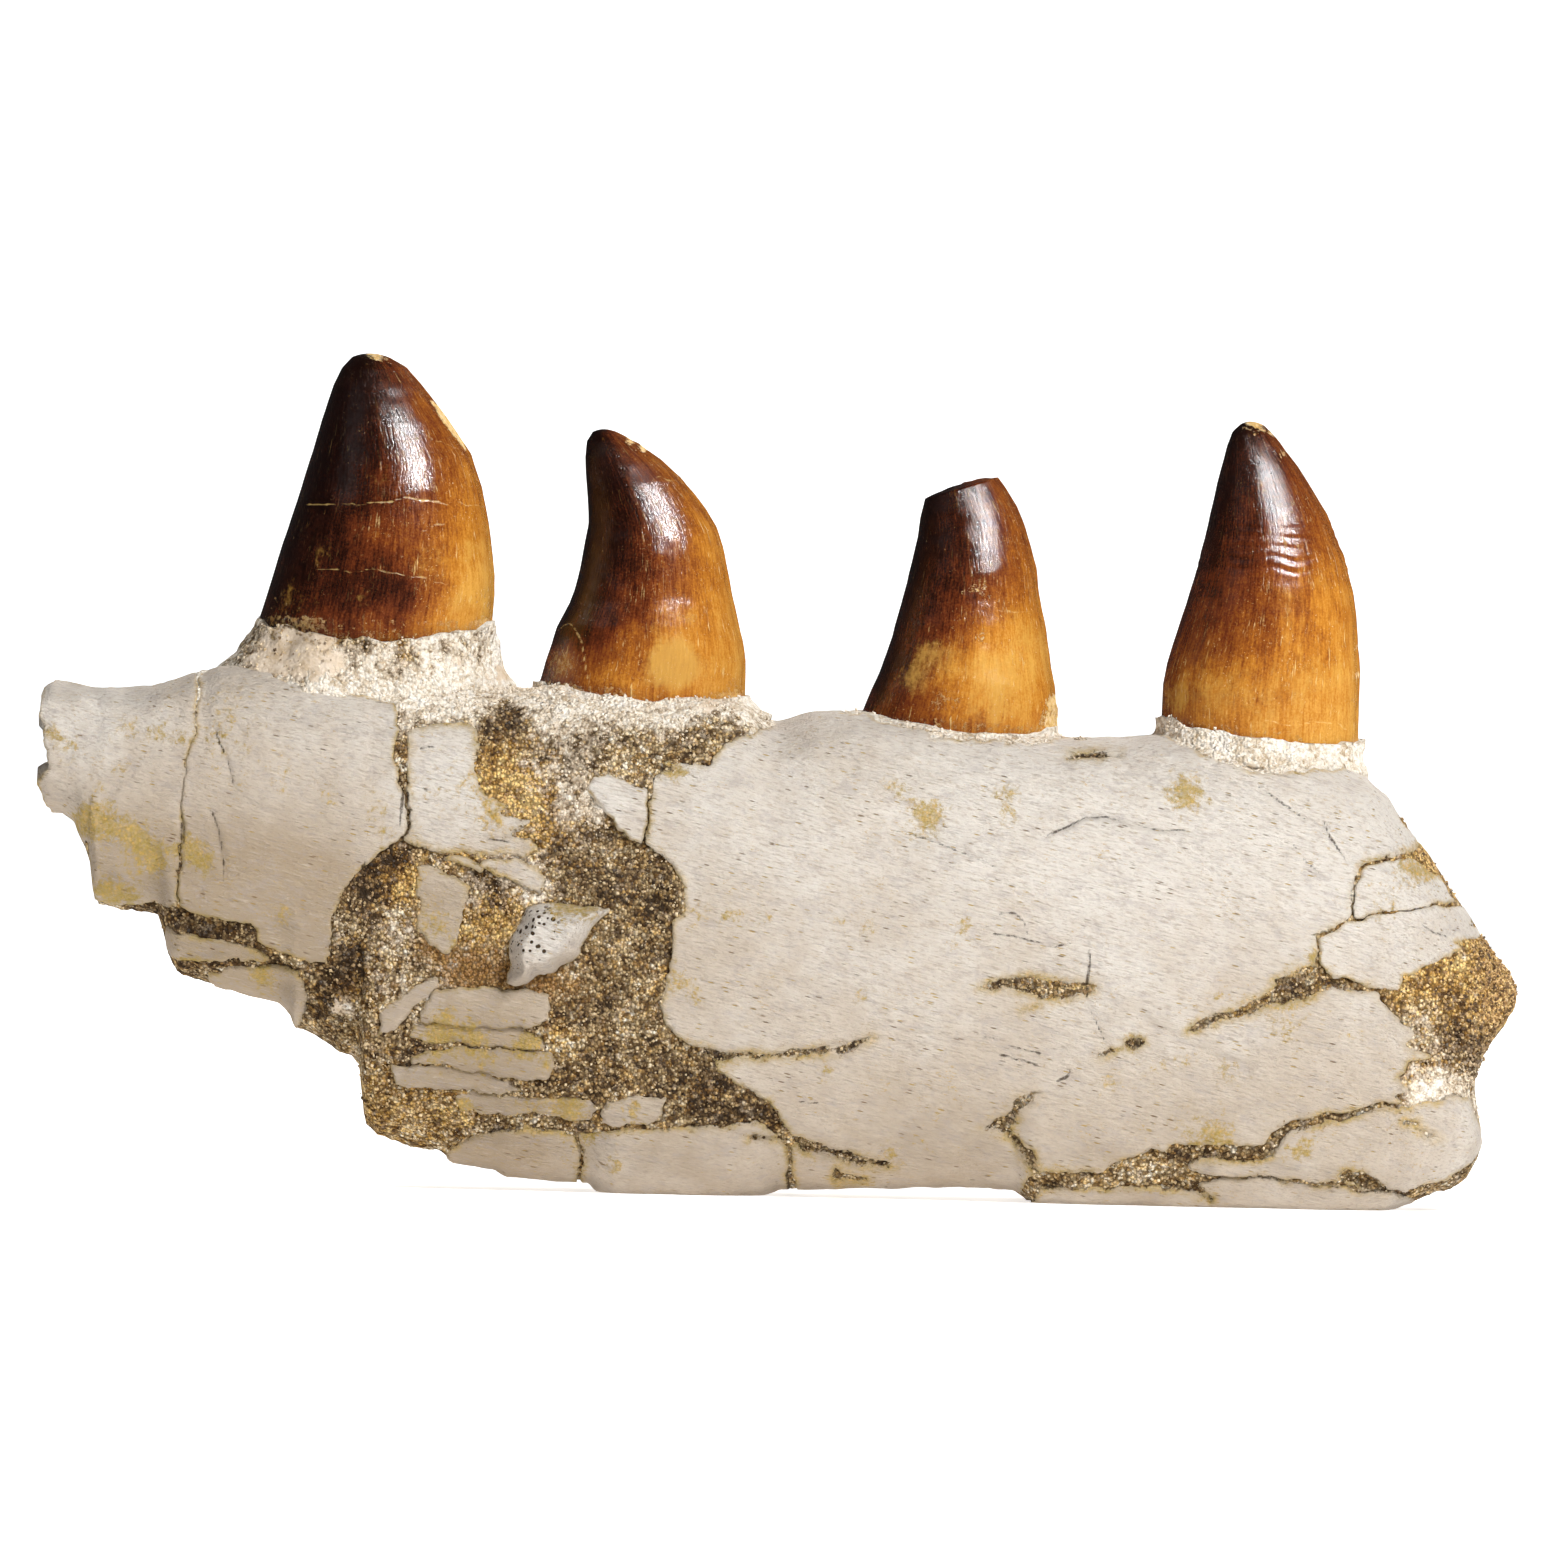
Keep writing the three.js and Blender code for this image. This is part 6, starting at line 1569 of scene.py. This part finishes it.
# %% [markdown]
# A slice's bumps push it out from its middle. The enamel's own coordinates are wound round the
# tooth: far apart round it and close together along it, so that noise is drawn out into striae.

# %% The crowns
GRAIN_RADIUS = 9.0
GRAIN_STRETCH = 4.0
RIPPLE_LENGTH = 1.5
CROWN_HEIGHT = 42.0
CRUST_HEIGHT = 0.35
EDGE_HEIGHT = 0.3
EDGE_WIDTH = 0.07
CHIP_DEPTH = 0.25
ROOT_TAPER = 0.04
TIP_DOT = 0.02
TONE_LEVEL = 0.35
CRUST_LEAST = -0.6
STRIP_EDGE = (-0.4, 0.3)


def crown_bumps(rings, look):
    """Height in mm over the even slices: ripples, the front cutting edge, lumps and chips."""
    x, z = rings[..., 0], rings[..., 2]
    low, high, depth = look["ripples"]
    window = smooth(z, low, low + 2) * smooth(z, high, high - 2)
    ripple = np.sin(2 * np.pi * (z + 0.8 * noise(rings, 4.0, 57)) / RIPPLE_LENGTH)
    ripple = depth * ripple * window * np.clip(noise(rings, 3.0, 58) + 0.4, 0, 1)
    edge = EDGE_HEIGHT * np.exp(-((np.sin(ANGLE) / EDGE_WIDTH) ** 2)) * (np.cos(ANGLE) * 0.5 + 0.5)
    bumps = ripple + edge + layered(rings, (0.12, 6.0, 51), (0.05, 2.0, 52))
    chips = np.clip(blobs(x, z, look["worn"]), 0, 1)
    return bumps - CHIP_DEPTH * chips * (0.6 + 0.6 * noise(rings, 0.9, 53))


def crown_rings(tooth, look):
    """A short hidden root, the slices with their bumps, and the cap above them."""
    share = np.linspace(0, 1, SLICES)
    left, right = (resampled(np.array(tooth[edge], float), share) for edge in ("left", "right"))
    width = np.hypot(*(right - left).T)
    thickness = tooth["thickness"] * (width / width[0]) ** THICKNESS_FOLLOWS_WIDTH
    rings = oval(left, right, thickness * (1 + CROWN_BELLY * np.sin(np.pi * share)))
    bumps = crown_bumps(rings, look)
    middle = rings.mean(1, keepdims=True)
    out = rings - middle
    reach = np.linalg.norm(out, axis=-1, keepdims=True)
    rings = middle + out * (1 + bumps[..., None] / np.maximum(reach, 0.5))
    root = rings[0] + (middle[0] - rings[0]) * ROOT_TAPER - np.array([0, 0, ROOT_DEPTH])
    cap = []
    for part in CAP_SHARES:
        ring = middle[-1] + (rings[-1] - middle[-1]) * part
        ring[:, 2] += tooth["cap"] * (1 - part**2) + tooth["rough"] * noise(ring, 1.3, 54) * (1 - part)
        cap.append(ring)
    return np.concatenate([[root], rings, cap])


def crown_marks(points, count, look):
    """What the enamel reads. The level goes from 0 at the root to 1 at the tip, and the turn is the
    way out from the tooth's middle."""
    x, z = points[:, 0], points[:, 2]
    level = np.concatenate([[0], np.repeat(np.linspace(0, 1, count), AROUND), [1]])
    turn_x = np.concatenate([[0], np.tile(np.cos(ANGLE), count), [0]])
    turn_y = np.concatenate([[0], np.tile(np.sin(ANGLE), count), [0]])
    start, sideways, upward = look["tone"]
    tone = start + sideways * (0.5 * turn_x) - upward * (level - TONE_LEVEL) + blobs(x, z, look["warm"])
    wander = layered(points, (0.6, 2.5, 55), (0.25, 0.8, 56))
    grain = np.stack([turn_x * GRAIN_RADIUS, turn_y * GRAIN_RADIUS, level * GRAIN_STRETCH], axis=-1)
    worn = blobs(x, z, look["worn"])
    if "strips" in look:
        worn = np.maximum(worn, smooth(inside_any(x, z, look["strips"]), *STRIP_EDGE))
    crust = np.maximum(CRUST_HEIGHT - level * CROWN_HEIGHT, CRUST_LEAST)
    return {
        "tone": np.clip(tone, 0, 1), "worn": worn, "dull": blobs(x, z, look["dull"]),
        "crack": inside_any(x, z + wander, look["cracks"]), "grain": grain * MM,
        "crust": crust + blobs(x, z, look["crust"]),
    }


def crown(name, tooth, look):
    """One crown, as one closed mesh."""
    rings = crown_rings(tooth, look)
    points, faces = loft(rings, rings[0].mean(0), rings[-1].mean(0) + np.array([0, 0, TIP_DOT]))
    marks = crown_marks(points, len(rings), look)
    piece = put_mesh(name.replace("tooth", "crown"), points, faces, marks, ENAMEL, "enamel", name)
    print(name, "tip at", round(float(points[:, 2].max()), 1), "mm,", len(piece.data.polygons), "faces")


for name, tooth in TEETH.items():
    crown(name, tooth, LOOKS[name])

# %% [markdown]
# Loose grains stand proud of the rock wherever it shows, and of the sand in the veins. Each is an
# octahedron, the least solid with a rounded look at this size, squashed and sized at random. All
# of them are one mesh, made from arrays: the places, times six corners.

# %% Grains of sand
GRAIN_COUNT = 14000
GRAIN_LEAST = 0.13
GRAIN_MOST = 0.36
GRAIN_SCATTER = np.array([0.15, 0.05, 0.15])
ABOVE_KEEL = 1.5
SQUASH_LEAST = 0.7
SQUASH_RANGE = 0.6
SHADE_LEAST = 0.1
SHADE_RANGE = 0.75
GRAIN_FLOOR = 0.05
CORNERS = np.array([(1, 0, 0), (-1, 0, 0), (0, 1, 0), (0, -1, 0), (0, 0, 1), (0, 0, -1)], float)
SIDES = np.array([(0, 2, 4), (2, 1, 4), (1, 3, 4), (3, 0, 4), (2, 0, 5), (1, 2, 5), (3, 1, 5), (0, 3, 5)])


def grain_mesh():
    """Octahedra at random points of the rock's skin."""
    chance = np.random.default_rng(7)
    spots = np.concatenate([sandy_points, *SANDY_SPOTS])
    spots = spots[spots[:, 2] > at(KEEL, spots[:, 0]) + ABOVE_KEEL]
    picked = spots[chance.integers(0, len(spots), GRAIN_COUNT)]
    picked = picked + chance.normal(0, 1, picked.shape) * GRAIN_SCATTER
    size = GRAIN_LEAST + (GRAIN_MOST - GRAIN_LEAST) * chance.random((len(picked), 1, 1)) ** 2
    squash = SQUASH_LEAST + SQUASH_RANGE * chance.random((len(picked), 1, 3))
    turn = chance.normal(0, 1, (len(picked), 3, 3))
    turn, _ = np.linalg.qr(turn)
    turn *= np.sign(np.linalg.det(turn))[:, None, None]
    corners = (CORNERS * squash * size) @ turn
    points = (picked[:, None] + corners).reshape(-1, 3)
    faces = (SIDES[None] + 6 * np.arange(len(picked))[:, None, None]).reshape(-1, 3)
    points[:, 2] = np.maximum(points[:, 2], GRAIN_FLOOR)
    marks = ground(np.repeat(picked[:, 0], 6), np.repeat(picked[:, 2], 6))
    marks["shade"] = np.repeat(SHADE_LEAST + SHADE_RANGE * chance.random(len(picked)), 6)
    return points, faces, marks


def grain_material():
    """Each grain has one shade of the sand."""
    material, tree, shader, _ = started("loose_grains")
    # Grains in dark spots are darker: partly darker sand, partly painted shade in the pits
    shade = sums(tree, (mark(tree, "shade"), 1.0), (mark(tree, "dark"), -0.25))
    brown, white = shades(tree, shade, GRAINS), shades(tree, shade, PALE_GRAINS)
    yellow, red = times(tree, mark(tree, "gold"), 0.8), times(tree, mark(tree, "rust"), 0.7)
    brown = blend(tree, red, blend(tree, yellow, brown, GOLD_TINT, "MULTIPLY"), RUST)
    colour = blend(tree, mark(tree, "pale"), brown, white)
    dress(tree, shader, {"Base Color": colour, "Roughness": 0.7})
    return material


grain_points, grain_faces, grain_marks = grain_mesh()
grains = put_mesh("sand_grains", grain_points, [grain_faces], grain_marks, grain_material(), "rock")
grains.data.polygons.foreach_set("use_smooth", np.zeros(len(grains.data.polygons), bool))
print("grains:", len(grain_faces) // 8)

# %% [markdown]
# The jaw stands on a plain white sweep: a floor that curves up into a wall behind it, so that no
# horizon shows. Its profile is a straight line, a quarter circle and another line, carried along x.
# The paper glows a little, more so far away, to stay white. The enamel doesn't mirror it. The
# sweep reaches further than any camera stands, so that the back can be looked at too, and past its
# edges the world is white for the camera's eye alone.

# %% The sweep
SWEEP_FROM = -8.0
SWEEP_BACK = 7.0
SWEEP_RADIUS = 1.5
SWEEP_TOP = 12.0
SWEEP_HALF_WIDTH = 9.0
GLOW_FROM, GLOW_FULL = 0.15, 0.8
GLOW_NEAR, GLOW_FAR = 0.65, 1.0
BEND_STEPS = 24
bend = np.linspace(0, np.pi / 2, BEND_STEPS)
profile = np.concatenate([
    [(SWEEP_FROM, 0)],
    np.stack([SWEEP_BACK + SWEEP_RADIUS * np.sin(bend), SWEEP_RADIUS * (1 - np.cos(bend))], axis=-1),
    [(SWEEP_BACK + SWEEP_RADIUS, SWEEP_TOP)],
])
sweep_points = np.concatenate([
    np.insert(profile, 0, -SWEEP_HALF_WIDTH, axis=1), np.insert(profile, 0, SWEEP_HALF_WIDTH, axis=1)])
here = np.arange(len(profile) - 1)
sweep_faces = np.stack([here, here + len(profile), here + len(profile) + 1, here + 1], axis=-1)
sweep_mesh = bpy.data.meshes.new("sweep")
sweep_mesh.from_pydata(sweep_points.tolist(), [], sweep_faces.tolist())
sweep_mesh.polygons.foreach_set("use_smooth", np.ones(len(sweep_faces), bool))
sweep = bpy.data.objects.new("sweep", sweep_mesh)
bpy.context.scene.collection.objects.link(sweep)
sweep.visible_glossy = False
paper, paper_tree, paper_shader, paper_where = started("white_paper")
distance = paper_tree.nodes.new("ShaderNodeVectorMath")
distance.operation = "LENGTH"
feed(paper_tree, distance.inputs[0], paper_where)
glow = spread(paper_tree, distance.outputs["Value"], GLOW_FROM, GLOW_FULL, GLOW_NEAR, GLOW_FAR)
dress(paper_tree, paper_shader, {
    "Base Color": (0.9, 0.9, 0.9), "Roughness": 1.0, "Specular IOR Level": 0.0,
    "Emission Color": (1, 1, 1), "Emission Strength": glow,
})
sweep_mesh.materials.append(paper)
sight = world.node_tree.nodes.new("ShaderNodeLightPath").outputs["Is Camera Ray"]
brightness = spread(world.node_tree, sight, 0.0, 1.0, WORLD_STRENGTH, 1.0)
feed(world.node_tree, world.node_tree.nodes["Background"].inputs["Strength"], brightness)
print("sweep:", len(sweep_faces), "faces")

# %% [markdown]
# The dressed model has to stay inside the box of the solids it covers, apart from a few per cent.

# %% Finish
print("scene finished")
